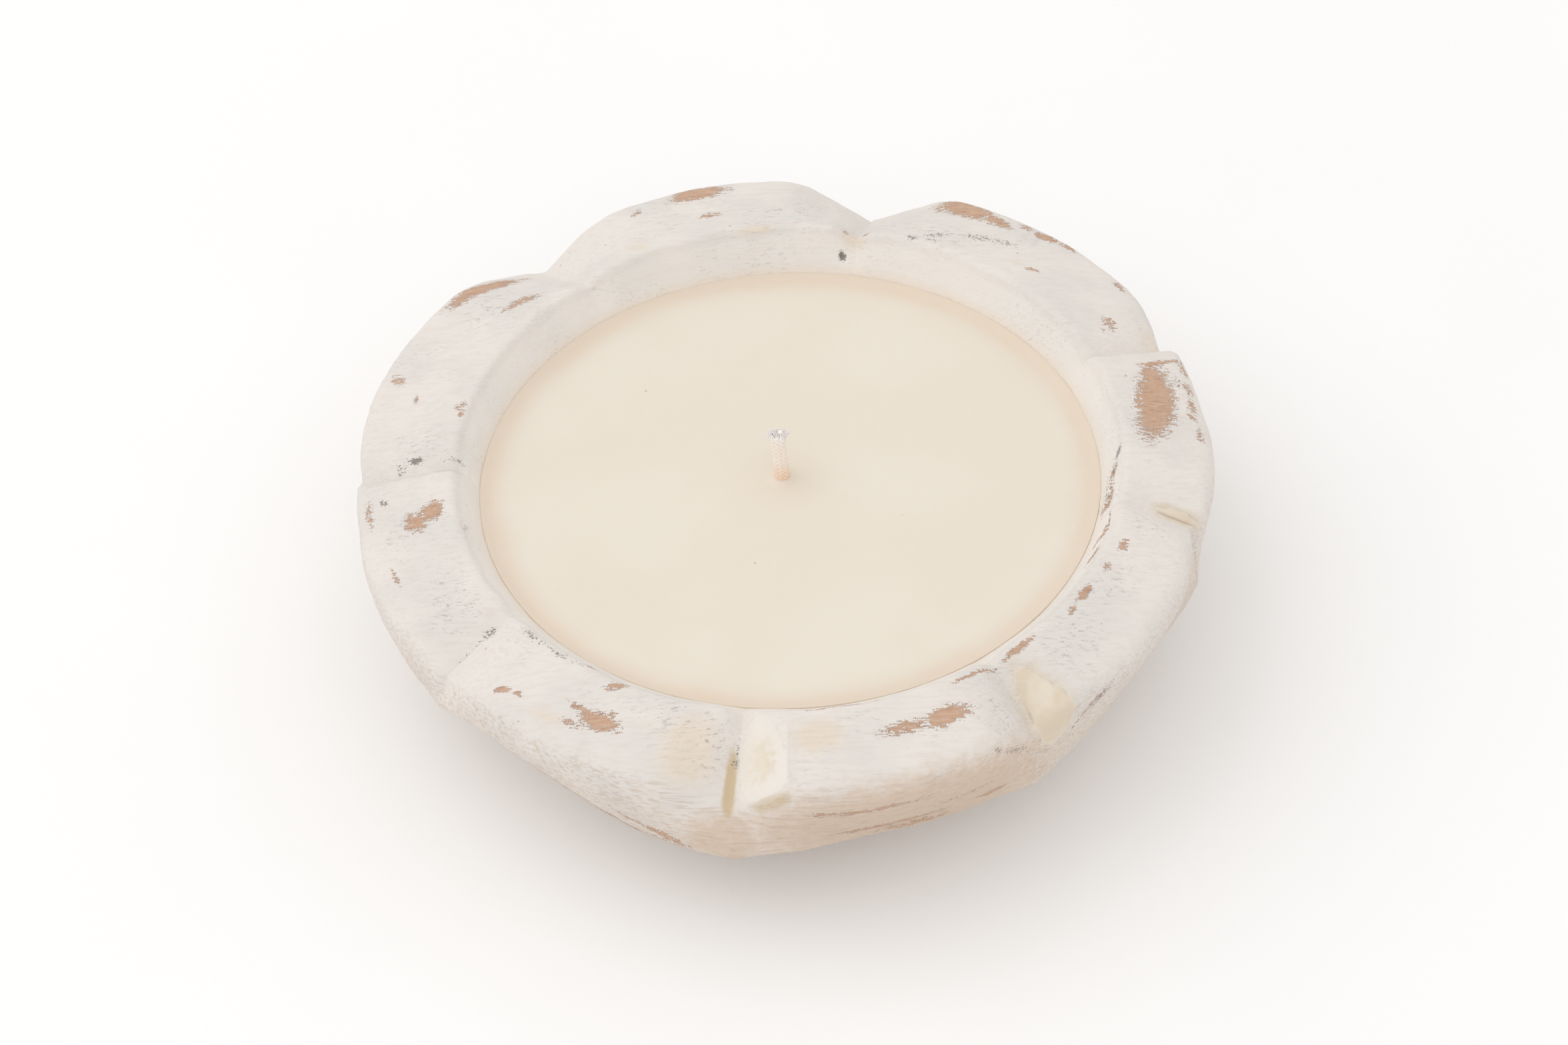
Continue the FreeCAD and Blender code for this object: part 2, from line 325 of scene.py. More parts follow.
# Where the paint is rubbed through: (from, direction, out, half length, half width, lean,
# strength). A weak mark only shows as specks.
BARE_WOOD = (
    # right petal
    (LIP, 9.3, 7.2, 9.4, 3.4, 16.0, 1.0),
    (LIP, 14.8, 8.8, 3.2, 2.0, 0.0, 0.95),
    (LIP, 17.9, 12.0, 4.6, 0.6, 88.0, 0.8),
    (LIP, 12.2, 14.6, 1.8, 1.1, 0.0, 0.58),
    (LIP, 8.6, 14.0, 2.2, 1.0, 0.0, 0.58),
    (LIP, 6.3, 13.2, 1.3, 0.45, -40.0, 0.8),
    (LIP, 2.6, 14.0, 2.0, 0.8, 0.0, 0.52),
    (SHOULDER, 16.2, -0.8, 2.0, 0.7, 0.0, 0.75),
    # top right petal
    (SHOULDER, 61.6, -3.5, 5.0, 2.5, 0.0, 1.0),
    (SHOULDER, 56.4, -4.2, 3.4, 1.2, 8.0, 0.9),
    (SHOULDER, 52.2, -2.2, 1.4, 0.8, 0.0, 0.75),
    (SHOULDER, 48.6, -2.2, 2.4, 1.0, 0.0, 0.95),
    (SHOULDER, 45.2, -1.6, 1.7, 0.8, 0.0, 0.8),
    (SHOULDER, 34.4, -1.8, 1.6, 0.7, 0.0, 0.7),
    (LIP, 62.3, 1.6, 1.4, 0.9, 0.0, 0.5),
    (LIP, 45.0, 5.8, 1.5, 0.55, -20.0, 0.8),
    (LIP, 28.5, 7.7, 1.9, 1.2, 0.0, 0.62),
    (LIP, 27.2, 5.8, 0.8, 0.6, 0.0, 0.5),
    # top petal
    (SHOULDER, 101.2, -3.3, 4.9, 1.9, 0.0, 1.0),
    (LIP, 100.8, 6.2, 2.4, 0.8, 0.0, 0.75),
    (LIP, 110.9, 12.9, 1.7, 0.7, -40.0, 0.62),
    (LIP, 77.8, 0.5, 0.8, 1.1, 0.0, 0.5),
    (LIP, 74.4, 1.6, 0.7, 1.5, 0.0, 0.62),
    # upper left petal
    (SHOULDER, 136.8, -3.4, 7.4, 1.7, 4.0, 1.0),
    (LIP, 136.6, 5.4, 4.4, 1.0, 12.0, 0.8),
    (LIP, 158.3, 15.6, 1.8, 1.1, -50.0, 0.62),
    (LIP, 162.1, 10.0, 0.9, 0.5, 0.0, 0.8),
    (LIP, 163.1, 0.9, 1.8, 1.2, 0.0, 0.5),
    (LIP, 165.0, 0.3, 0.6, 0.5, 0.0, 0.9),
    # lower left petal
    (LIP, 186.8, 4.0, 2.7, 1.9, 25.0, 0.95),
    (LIP, 188.2, 7.2, 2.5, 2.0, -20.0, 0.86),
    (SHOULDER, 184.0, -2.0, 3.2, 0.9, 0.0, 0.55),
    (LIP, 197.0, 13.6, 2.6, 0.5, 0.0, 0.62),
    # front left petal
    (LIP, 239.2, 8.2, 3.7, 1.7, 0.0, 0.96),
    (LIP, 235.4, 7.3, 2.8, 0.8, 0.0, 0.58),
    (LIP, 240.6, 5.9, 0.7, 0.6, 0.0, 0.8),
    (LIP, 238.6, 0.5, 2.3, 1.0, -30.0, 0.8),
    (LIP, 232.3, -0.8, 2.0, 0.6, -20.0, 0.62),
    (LIP, 223.6, 11.4, 1.4, 0.55, -40.0, 1.0),
    (LIP, 225.9, 10.4, 0.9, 0.45, 0.0, 1.0),
    (LIP, 235.6, 10.6, 2.6, 0.8, 0.0, 0.5),
    # front petal
    (LIP, 291.9, 6.5, 4.2, 1.7, 0.0, 1.0),
    (LIP, 285.4, 6.3, 4.6, 1.3, 0.0, 0.74),
    (LIP, 276.0, -0.8, 9.0, 0.4, 0.0, 0.58),
    (LIP, 299.4, 0.9, 4.6, 0.45, 0.0, 0.78),
    # lower right petal
    (LIP, 308.6, 0.9, 3.6, 0.6, 0.0, 1.0),
    (LIP, 337.1, 2.7, 1.6, 0.9, 0.0, 0.8),
    (LIP, 331.5, 2.2, 1.4, 0.7, 0.0, 0.62),
    (LIP, 324.6, 1.5, 2.4, 0.9, 0.0, 0.85),
    (LIP, 320.5, 2.0, 1.4, 0.6, 0.0, 0.8),
    (LIP, 341.0, -3.6, 7.0, 0.5, 8.0, 0.7),
    (LIP, 350.0, -4.6, 5.0, 0.5, 8.0, 0.78),
    (LIP, 334.0, -2.6, 3.0, 0.5, 8.0, 0.85),
    (LIP, 355.4, -3.8, 2.6, 0.9, 20.0, 0.6),
    (SHOULDER, 313.4, 4.6, 2.8, 1.0, -30.0, 0.6),
    (SHOULDER, 311.0, 7.0, 2.6, 0.45, -30.0, 0.62),
    # wall under the front petal, where the grain runs level
    (SHOULDER, 271.6, 6.3, 1.2, 0.5, 0.0, 0.9),
    (SHOULDER, 278.6, 6.2, 8.6, 0.6, 0.0, 0.80),
    (EDGE, 281.5, -3.4, 9.6, 0.6, 0.0, 0.82),
    (EDGE, 285.0, -1.4, 7.0, 0.7, 0.0, 0.66),
    (EDGE, 296.2, -3.1, 2.8, 0.5, 0.0, 0.85),
    (EDGE, 291.0, -6.4, 6.0, 0.4, 0.0, 0.62),
    # lower edge at the left front
    (EDGE, 239.0, 0.0, 16.0, 0.55, 0.0, 0.80),
    (EDGE, 251.0, -1.6, 4.0, 0.7, 12.0, 0.86),
    (EDGE, 247.0, -2.6, 6.0, 0.35, 6.0, 0.62),
)

# Dark marks of soot and dirt, and painted shade along three grooves' roots, with the same numbers.
DARK_MARKS = (
    (LIP, 359.2, -2.2, 1.8, 0.55, 25.0, 1.1),
    (LIP, 355.6, -3.6, 2.4, 0.7, 30.0, 0.60),
    (LIP, 351.0, -5.0, 5.5, 1.3, 0.0, 0.42),
    (SHOULDER, 13.4, -3.4, 2.0, 1.0, 0.0, 0.46),
    (LIP, 66.0, 0.5, 1.3, 0.6, 0.0, 0.70),
    (LIP, 62.5, 3.6, 3.6, 0.8, -30.0, 0.52),
    (LIP, 56.5, 7.0, 3.8, 1.0, -25.0, 0.52),
    (LIP, 52.6, 9.0, 2.6, 0.9, -20.0, 0.56),
    (LIP, 78.1, -4.7, 0.7, 0.9, 0.0, 1.4),
    (LIP, 173.9, 7.2, 0.55, 1.2, 0.0, 1.2),
    (LIP, 174.9, 10.1, 1.2, 0.9, 0.0, 0.62),
    (LIP, 182.5, 12.7, 0.6, 0.6, 0.0, 1.2),
    # painted shade along the root of the groove at 176 degrees
    (LIP, 174.4, -0.6, 0.45, 2.6, 0.0, 0.60),
    (LIP, 191.0, -2.0, 1.6, 0.5, 30.0, 0.58),
    (LIP, 213.2, 4.2, 1.0, 1.6, 0.0, 0.66),
    # painted shade along the root of the groove at 213 degrees
    (LIP, 213.0, 8.0, 0.5, 4.0, 0.0, 0.36),
    (LIP, 220.5, 0.3, 3.8, 0.8, 0.0, 0.46),
    (LIP, 226.5, 0.2, 5.0, 0.6, 0.0, 0.42),
    (LIP, 259.9, 8.0, 0.8, 0.6, 0.0, 0.8),
    # painted shade along the root of the groove at 260 degrees
    (LIP, 260.0, 5.4, 0.4, 3.0, 0.0, 0.46),
    (SHOULDER, 314.6, 3.8, 2.8, 1.2, -20.0, 0.48),
    (SHOULDER, 299.6, 2.2, 2.8, 1.2, 0.0, 0.48),
    (SHOULDER, 296.4, 1.2, 0.9, 0.7, 0.0, 0.60),
    (EDGE, 243.0, -0.2, 6.0, 0.4, 0.0, 0.56),
)

# Where grey scuffs gather, with the same numbers.
SCUFFED = (
    (LIP, 190.0, 11.5, 5.0, 3.0, 0.0, 0.8),
    (LIP, 206.0, 7.0, 6.0, 4.0, 20.0, 1.0),
    (LIP, 218.0, 4.0, 4.0, 3.0, 0.0, 0.5),
    (LIP, 247.0, 2.5, 7.0, 3.0, 0.0, 0.8),
    (LIP, 256.0, 6.0, 3.0, 5.0, 0.0, 0.9),
    (LIP, 289.0, 9.0, 6.0, 2.5, 0.0, 0.4),
    (LIP, 299.0, 9.0, 3.0, 7.0, 0.0, 0.7),
    (LIP, 316.0, 7.0, 6.0, 5.0, 0.0, 1.0),
    (LIP, 330.0, 5.0, 6.0, 3.5, 0.0, 0.8),
    (LIP, 343.0, 5.5, 4.0, 4.0, 0.0, 0.8),
    (LIP, 352.0, -4.0, 8.0, 2.0, 0.0, 1.0),
    (LIP, 6.0, 12.0, 6.0, 3.0, 0.0, 0.6),
    (LIP, 60.0, 4.0, 7.0, 3.0, -20.0, 0.9),
    (LIP, 88.0, 5.0, 7.0, 3.0, 0.0, 0.5),
    (LIP, 110.0, 6.0, 6.0, 3.0, 0.0, 0.5),
    (LIP, 142.0, 9.0, 6.0, 3.0, 0.0, 0.6),
    (LIP, 171.0, 6.0, 4.0, 4.0, 0.0, 0.6),
    (SHOULDER, 306.0, 5.0, 10.0, 4.0, 0.0, 0.7),
    (SHOULDER, 268.0, 9.0, 10.0, 4.0, 0.0, 0.6),
)

# Wax and varnish soaked into the paint, tan paint and painted shade: the same numbers, then the
# stain's name.
STAINS_AND_SHADE = (
    (LIP, 114.6, 1.6, 2.6, 1.3, 30.0, 0.75, "beige"),
    (LIP, 107.4, 2.4, 2.8, 1.0, 0.0, 0.5, "beige"),
    (LIP, 94.0, -0.4, 4.6, 1.1, 0.0, 0.75, "beige"),
    (LIP, 76.4, -1.0, 3.0, 2.6, 0.0, 0.85, "beige"),
    (LIP, 47.9, 5.7, 2.2, 1.6, 0.0, 0.5, "beige"),
    (SHOULDER, 24.6, -2.0, 3.6, 2.4, 0.0, 0.55, "beige"),
    (LIP, 17.0, 1.5, 3.0, 2.6, 0.0, 0.4, "cream"),
    (LIP, 231.6, 11.6, 4.6, 1.6, -10.0, 0.6, "beige"),
    (LIP, 253.2, 8.5, 5.8, 7.8, 10.0, 0.8, "beige"),
    (LIP, 246.0, 4.0, 4.6, 3.6, 0.0, 0.45, "cream"),
    (LIP, 272.4, 5.0, 5.6, 3.8, 0.0, 0.8, "beige"),
    (LIP, 259.4, 12.4, 1.0, 7.0, 0.0, 1.0, "olive"),
    (LIP, 263.9, 8.6, 5.0, 9.5, 0.0, 0.6, "cream"),
    (SHOULDER, 265.4, 1.8, 4.6, 2.2, 12.0, 0.62, "olive"),
    (EDGE, 259.0, -4.0, 7.4, 6.6, 0.0, 0.7, "tan"),
    # painted shade: this wide tan mark darkens the front wall, which less light reaches, and warms
    # its thin paint
    (EDGE, 284.0, -6.5, 28.0, 11.0, 0.0, 0.9, "tan"),
    (LIP, 306.4, 12.0, 4.8, 11.0, 0.0, 0.7, "yellow"),
    (LIP, 348.6, 10.4, 1.8, 6.4, 0.0, 0.7, "yellow"),
    (LIP, 354.0, 12.0, 3.2, 2.6, 0.0, 0.35, "cream"),
    (LIP, 330.0, 11.0, 4.0, 3.0, 0.0, 0.35, "cream"),
)

# Nicks of the knife, with their depth in mm last.
NICKS = (
    (LIP, 49.4, 14.2, 0.8, 3.4, -25.0, 0.45),
    (LIP, 51.0, 13.6, 0.7, 3.0, -25.0, 0.35),
    (LIP, 176.2, 0.5, 0.9, 3.2, 0.0, 0.5),
    (LIP, 78.1, -4.7, 0.8, 1.0, 0.0, 0.9),
    (LIP, 340.5, -3.0, 5.0, 0.9, 0.0, 0.35),
    (LIP, 350.0, -4.4, 4.0, 1.2, 0.0, 0.45),
    (EDGE, 236.0, -2.6, 12.0, 0.7, 0.0, 0.30),
    (EDGE, 284.0, -2.4, 9.0, 0.7, 0.0, 0.30),
    (LIP, 268.0, 8.4, 0.8, 8.0, 0.0, -0.45),
    (LIP, 204.0, 6.0, 5.0, 6.0, 0.0, 0.35),
    (LIP, 146.0, 11.0, 6.0, 5.0, 0.0, 0.35),
    (LIP, 116.0, 10.0, 5.0, 5.0, 0.0, 0.30),
)


def turn_between(first, second):
    """The turn from one direction to another, from -180 to 180 degrees."""
    return (second - first + 180.0) % 360.0 - 180.0


def mark_depth(mark, direction, out, taper=0.0):
    """1 in the middle of a mark, 0 on its rim and less outside it; taper widens its far end."""
    _, middle, away, half_length, half_width, lean = mark[:6]
    along = math.radians(turn_between(middle, direction)) * PETAL_RADIUS
    across = out - away
    turned = math.radians(lean)
    lengthwise = along * math.cos(turned) + across * math.sin(turned)
    crosswise = across * math.cos(turned) - along * math.sin(turned)
    widened = max(1.0 + taper * lengthwise / half_length, 0.15)
    return 1.0 - math.hypot(lengthwise / half_length, crosswise / (half_width * widened))


def marks_near(marks, direction):
    """The marks that reach into a column."""
    return [
        mark for mark in marks
        if abs(turn_between(mark[1], direction)) < math.degrees(
            (1.0 + SOFT_RIM) * max(mark[3], mark[4]) / PETAL_RADIUS)]


def new_piece(name, bm, replaced, material):
    """Make an object of a finished bmesh, hang it on the root body and hide the CAD part that it
    replaces.
    """
    bmesh.ops.remove_doubles(bm, verts=bm.verts, dist=1e-7)
    bmesh.ops.recalc_face_normals(bm, faces=bm.faces)
    mesh = bpy.data.meshes.new(name)
    bm.to_mesh(mesh)
    bm.free()
    piece = bpy.data.objects.new(name, mesh)
    bpy.context.collection.objects.link(piece)
    mesh.materials.append(material)
    mesh.shade_smooth()
    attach(piece, "root")
    if replaced:
        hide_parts(replaced)
    return piece


# ---------------------------------------------------------------- laying out shader nodes

# The kind of each socket that the shared groups take or give.
SOCKET_KINDS = {
    "Vector": "NodeSocketVector", "Stretch": "NodeSocketVector", "Scale": "NodeSocketFloat",
    "Size": "NodeSocketFloat", "Share": "NodeSocketFloat", "Mask": "NodeSocketFloat",
    "Streaks": "NodeSocketFloat", "Colour": "NodeSocketColor", "Other Colour": "NodeSocketColor"}


def plug(tree, socket, value):
    """Link a socket to another one, or set its own value."""
    if isinstance(value, bpy.types.NodeSocket):
        tree.links.new(value, socket)
    elif socket.type == "RGBA" and len(value) == 3:
        socket.default_value = (*value, 1.0)
    else:
        socket.default_value = value


def node(tree, kind, inputs, **settings):
    """Add a node with its settings, then fill its inputs by name or number."""
    made = tree.nodes.new(kind)
    for name, value in settings.items():
        setattr(made, name, value)
    for name, value in inputs.items():
        plug(tree, made.inputs[name], value)
    return made


def math_node(tree, operation, *values):
    """One step of arithmetic on numbers or sockets."""
    made = node(tree, "ShaderNodeMath", dict(enumerate(values)), operation=operation)
    return made.outputs[0]


def times(tree, first, second):
    """The product of two values."""
    return math_node(tree, "MULTIPLY", first, second)


def plus(tree, first, second):
    """The sum of two values."""
    return math_node(tree, "ADD", first, second)


def scaled(tree, value, factor, start):
    """A start value with a value times its factor added."""
    return math_node(tree, "MULTIPLY_ADD", value, factor, start)


def inverse(tree, share):
    """What a share leaves of 1."""
    return math_node(tree, "SUBTRACT", 1.0, share)


def around_zero(tree, pattern):
    """A pattern's value moved so that it swings to either side of zero."""
    return math_node(tree, "SUBTRACT", pattern, 0.5)


def vector_node(tree, operation, output, *values):
    """One step of arithmetic on places."""
    made = node(tree, "ShaderNodeVectorMath", dict(enumerate(values)), operation=operation)
    return made.outputs[output]


def blend_colours(tree, share, first, second):
    """The first colour with a share of the second one in it."""
    inputs = {0: share, 6: first, 7: second}
    return node(tree, "ShaderNodeMix", inputs, data_type="RGBA").outputs[2]


def eased(tree, value, start, end):
    """0 up to the start, 1 from the end on, with an easy slope between."""
    made = node(
        tree, "ShaderNodeMapRange", {"Value": value, "From Min": start, "From Max": end},
        interpolation_type="SMOOTHSTEP")
    return made.outputs["Result"]


def noise_node(tree, vector, scale, detail=2.0, roughness=0.5):
    """Cloudy noise, about 0.5 on average."""
    inputs = {"Vector": vector, "Scale": scale, "Detail": detail, "Roughness": roughness}
    return node(tree, "ShaderNodeTexNoise", inputs).outputs["Fac"]


def stretched(tree, vector, scale, turn=0.0):
    """The pattern's own coordinates, drawn out along its grain and turned about Z."""
    inputs = {"Vector": vector, "Scale": scale, "Rotation": (0.0, 0.0, math.radians(turn))}
    return node(tree, "ShaderNodeMapping", inputs).outputs["Vector"]


def millimetres(tree):
    """The piece's own coordinates, so that a scale of 1 is one feature to a millimetre."""
    place = tree.nodes.new("ShaderNodeTexCoord").outputs["Object"]
    return stretched(tree, place, (1 / MM, 1 / MM, 1 / MM))


def level(tree, place):
    """How high each point lies, in mm."""
    return node(tree, "ShaderNodeSeparateXYZ", {"Vector": place}).outputs["Z"]


def painted(tree, name, output="Fac"):
    """A value or colour painted on the piece's vertices."""
    return node(tree, "ShaderNodeAttribute", {}, attribute_name=name).outputs[output]


def placed_group(tree, name, lay_out, values, output):
    """Place a shared node group with its own values; the first use builds the group."""
    group = bpy.data.node_groups.get(name)
    if not group:
        group = bpy.data.node_groups.new(name, "ShaderNodeTree")
        for label in values:
            group.interface.new_socket(label, in_out="INPUT", socket_type=SOCKET_KINDS[label])
        group.interface.new_socket(output, in_out="OUTPUT", socket_type=SOCKET_KINDS[output])
        given = group.nodes.new("NodeGroupInput").outputs
        made = lay_out(group, given)
        plug(group, group.nodes.new("NodeGroupOutput").inputs[output], made)
    placed = tree.nodes.new("ShaderNodeGroup")
    placed.node_tree = group
    for label, value in values.items():
        plug(tree, placed.inputs[label], value)
    return placed.outputs[output]


def lay_out_clouds(tree, given):
    share = eased(tree, noise_node(tree, given["Vector"], given["Scale"], 3.0), 0.38, 0.62)
    return blend_colours(tree, share, given["Colour"], given["Other Colour"])


def drifting_colour(tree, place, scale, colour, other):
    """Group: a colour that drifts towards another one in soft clouds."""
    values = {"Vector": place, "Scale": scale, "Colour": colour, "Other Colour": other}
    return placed_group(tree, "drifting_colour", lay_out_clouds, values, "Colour")


def lay_out_specks(tree, given):
    inputs = {"Vector": given["Vector"], "Scale": given["Scale"]}
    cells = node(tree, "ShaderNodeTexVoronoi", inputs)
    picked = node(tree, "ShaderNodeSeparateColor", {"Color": cells.outputs["Color"]})
    larger = times(tree, given["Size"], picked.outputs["Green"])
    inside = math_node(tree, "LESS_THAN", cells.outputs["Distance"], larger)
    chosen = math_node(tree, "LESS_THAN", picked.outputs["Red"], given["Share"])
    return times(tree, inside, chosen)


def scattered_specks(tree, place, scale, size, share):
    """Group: small specks, of which only a share show."""
    values = {"Vector": place, "Scale": scale, "Size": size, "Share": share}
    return placed_group(tree, "scattered_specks", lay_out_specks, values, "Mask")


def lay_out_streaks(tree, given):
    drawn = vector_node(tree, "MULTIPLY", "Vector", given["Vector"], given["Stretch"])
    return noise_node(tree, drawn, given["Scale"], 5.0, 0.65)


def fine_streaks(tree, place, scale, stretch):
    """Group: streaks drawn out along one direction, as of a brush or of the wood's grain."""
    values = {"Vector": place, "Scale": scale, "Stretch": stretch}
    return placed_group(tree, "fine_streaks", lay_out_streaks, values, "Streaks")


def new_material(name, roughness):
    """An empty material and its shader, with the roughness that the whole surface has."""
    material = bpy.data.materials.new(name)
    material.use_nodes = True
    shader = material.node_tree.nodes["Principled BSDF"]
    shader.inputs["Roughness"].default_value = roughness
    return material, material.node_tree, shader


def raised(tree, shader, height, distance):
    """Give the surface relief, its height counted in the distance given in mm."""
    relief = node(tree, "ShaderNodeBump", {"Height": height, "Distance": distance * MM})
    plug(tree, shader.inputs["Normal"], relief.outputs["Normal"])


# ---------------------------------------------------------------- finishes

def limed_paint(tree, place, colours, strokes):
    """Paint with its stains, painted shade on the front wall and brush marks, and the share of
    stain and shade in it.
    """
    paint = drifting_colour(tree, place, 0.07, colours.paint, colours.cool_paint)

    # stains, and the painted shade on the front wall, carry their own colour and strength
    stain_and_shade_strength = painted(tree, "stain", "Alpha")
    edge = around_zero(tree, noise_node(tree, place, 0.6, 4.0, 0.65))
    stain_and_shade_share = eased(tree, scaled(tree, edge, 0.6, stain_and_shade_strength), 0.22, 0.80)
    stain_and_shade_share = times(tree, stain_and_shade_share, eased(tree, stain_and_shade_strength, 0.0, 0.3))
    paint = blend_colours(tree, stain_and_shade_share, paint, painted(tree, "stain", "Color"))

    # brush marks run with the grain, and are plainer on the wall than on the petals
    on_wall = eased(tree, painted(tree, "down"), -0.5, 2.5)
    thin = times(tree, eased(tree, strokes, 0.44, 0.64), scaled(tree, on_wall, 0.42, 0.13))
    paint = blend_colours(tree, thin, paint, colours.thin_paint)
    # towards the wall's foot the paint is blended darker and warmer
    low = times(tree, eased(tree, painted(tree, "down"), 1.0, 17.0), 0.34)
    return blend_colours(tree, low, paint, colours.thin_paint), stain_and_shade_share


def tinted_inside(tree, place, colours, paint):
    """Inside the lip the paint is lightened as painted light against the hollow's shade, and a film
    of wax tints it low down.
    """
    inside = inverse(tree, eased(tree, painted(tree, "out"), -3.0, -0.5))
    # painted light: the inner wall is blended halfway to a lighter paint
    paint = blend_colours(tree, times(tree, inside, 0.5), paint, colours.lightened_inner_paint)
    film = inverse(tree, eased(tree, level(tree, place), WAX_LEVEL + 0.2, WAX_LEVEL + 3.0))
    film = times(tree, times(tree, film, inside), 0.7)
    return blend_colours(tree, film, paint, colours.wax_film)


def scuffed_paint(tree, place, colours, paint):
    """Grey scuffs in soft fields, and specks of dirt."""
    fields = eased(tree, noise_node(tree, place, 0.075, 2.0), 0.42, 0.66)
    fields = scaled(tree, painted(tree, "scuffed"), 2.0, fields)
    scratched = stretched(tree, place, (0.35, 1.2, 1.2), 38.0)
    scuffs = eased(tree, noise_node(tree, scratched, 1.5, 6.0, 0.78), 0.53, 0.64)
    scuffs = times(tree, scuffs, times(tree, fields, 0.32))
    paint = blend_colours(tree, scuffs, paint, colours.scuff)
    specks = scattered_specks(tree, place, 0.34, 0.10, 0.22)
    return blend_colours(tree, times(tree, specks, 0.5), paint, colours.speck)


def rubbed_through(tree, place, colours, paint, grain):
    """Bare wood where the paint is rubbed away, ragged along the grain, and its share."""
    hatch = fine_streaks(tree, place, 2.6, (0.22, 1.0, 1.0))
    crumbs = noise_node(tree, place, 3.6, 3.0, 0.6)
    ragged = times(tree, around_zero(tree, hatch), 2.4)
    ragged = scaled(tree, around_zero(tree, crumbs), 1.3, ragged)
    bare = eased(tree, plus(tree, painted(tree, "bare"), ragged), 0.47, 0.58)
    bare = times(tree, bare, eased(tree, painted(tree, "bare"), 0.06, 0.25))
    wood = blend_colours(tree, eased(tree, grain, 0.28, 0.50), colours.dark_wood, colours.wood)
    wood = blend_colours(tree, eased(tree, grain, 0.52, 0.70), wood, colours.pale_wood)
    return blend_colours(tree, times(tree, bare, 0.94), paint, wood), bare


def sooted_and_shaded(tree, place, colours, colour):
    """Soot and dirt, and painted shade along grooves' roots, over a colour, and their share."""
    blots = noise_node(tree, stretched(tree, place, (0.5, 1.0, 1.0)), 4.2, 3.0, 0.6)
    ragged_darkness = times(tree, around_zero(tree, blots), 2.8)
    dirt = eased(tree, plus(tree, painted(tree, "dark"), ragged_darkness), 0.56, 0.72)
    dirt = times(tree, dirt, eased(tree, painted(tree, "dark"), 0.02, 0.12))
    return blend_colours(tree, times(tree, dirt, 0.75), colour, colours.dirt), dirt


def whitewashed_wood(colours):
    """Limed paint over reddish wood: rubbed through, scuffed, with stains, painted shade and light,
    and brushed on in streaks.
    """
    material, tree, shader = new_material("whitewashed_wood", 0.78)
    place = millimetres(tree)
    strokes = fine_streaks(tree, place, 1.5, (0.09, 0.9, 1.3))
    grain = fine_streaks(tree, place, 1.9, (0.16, 1.0, 1.0))
    paint, stain_and_shade_share = limed_paint(tree, place, colours, strokes)
    paint = tinted_inside(tree, place, colours, paint)
    paint = scuffed_paint(tree, place, colours, paint)
    colour, bare = rubbed_through(tree, place, colours, paint, grain)
    colour, dirt = sooted_and_shaded(tree, place, colours, colour)
    plug(tree, shader.inputs["Base Color"], colour)

    # the paint lies a little proud of the wood, and its strokes stand up in it
    skin = inverse(tree, math_node(tree, "MAXIMUM", bare, dirt))
    fine = noise_node(tree, place, 1.7, 4.0, 0.6)
    height = scaled(tree, skin, 0.5, times(tree, strokes, 0.5))
    height = plus(tree, height, times(tree, fine, 0.22))
    height = plus(tree, height, times(tree, grain, 0.4))
    raised(tree, shader, height, 0.14)
    dullness = scaled(tree, stain_and_shade_share, -0.28, 0.80)
    dullness = plus(tree, dullness, times(tree, strokes, -0.08))
    plug(tree, shader.inputs["Roughness"], dullness)
    return material


def candle_wax(colours):
    """Soft ivory wax: warmer in a ring at the wall and round the wick, satin on top."""
    material, tree, shader = new_material("candle_wax", 0.42)
    place = millimetres(tree)
    wax = drifting_colour(tree, place, 0.035, colours.wax, colours.cool_wax)
    flat = vector_node(tree, "MULTIPLY", "Vector", place, (1.0, 1.0, 0.0))
    radius = vector_node(tree, "LENGTH", "Value", flat)
    uneven = times(tree, around_zero(tree, noise_node(tree, place, 0.09, 2.0)), 3.0)
    ring = eased(tree, plus(tree, radius, uneven), WAX_RADIUS - 7.0, WAX_RADIUS - 0.2)
    ring = times(tree, math_node(tree, "POWER", ring, 1.6), 0.55)
    wax = blend_colours(tree, ring, wax, colours.wax_rim)
    away = vector_node(tree, "DISTANCE", "Value", flat, (WICK_X, WICK_Y, 0.0))
    halo = times(tree, inverse(tree, eased(tree, away, 1.0, 12.0)), 0.16)
    wax = blend_colours(tree, halo, wax, colours.wax_rim)
    for scale, size, share, strength, colour in (
            (0.11, 0.028, 0.35, 0.35, colours.dirt),
            (0.07, 0.022, 0.35, 0.5, colours.dark_wood)):
        specks = scattered_specks(tree, place, scale, size, share)
        wax = blend_colours(tree, times(tree, specks, strength), wax, colour)
    plug(tree, shader.inputs["Base Color"], wax)
    sweat = noise_node(tree, place, 0.3, 3.0)
    plug(tree, shader.inputs["Roughness"], scaled(tree, sweat, 0.22, 0.36))
    ripple = noise_node(tree, place, 0.16, 3.0)
    raised(tree, shader, plus(tree, ripple, times(tree, sweat, 0.3)), 0.12)
    shader.inputs["Subsurface Weight"].default_value = 0.12
    shader.inputs["Subsurface Radius"].default_value = (1.0, 0.7, 0.45)
    shader.inputs["Subsurface Scale"].default_value = 2.0 * MM
    return material


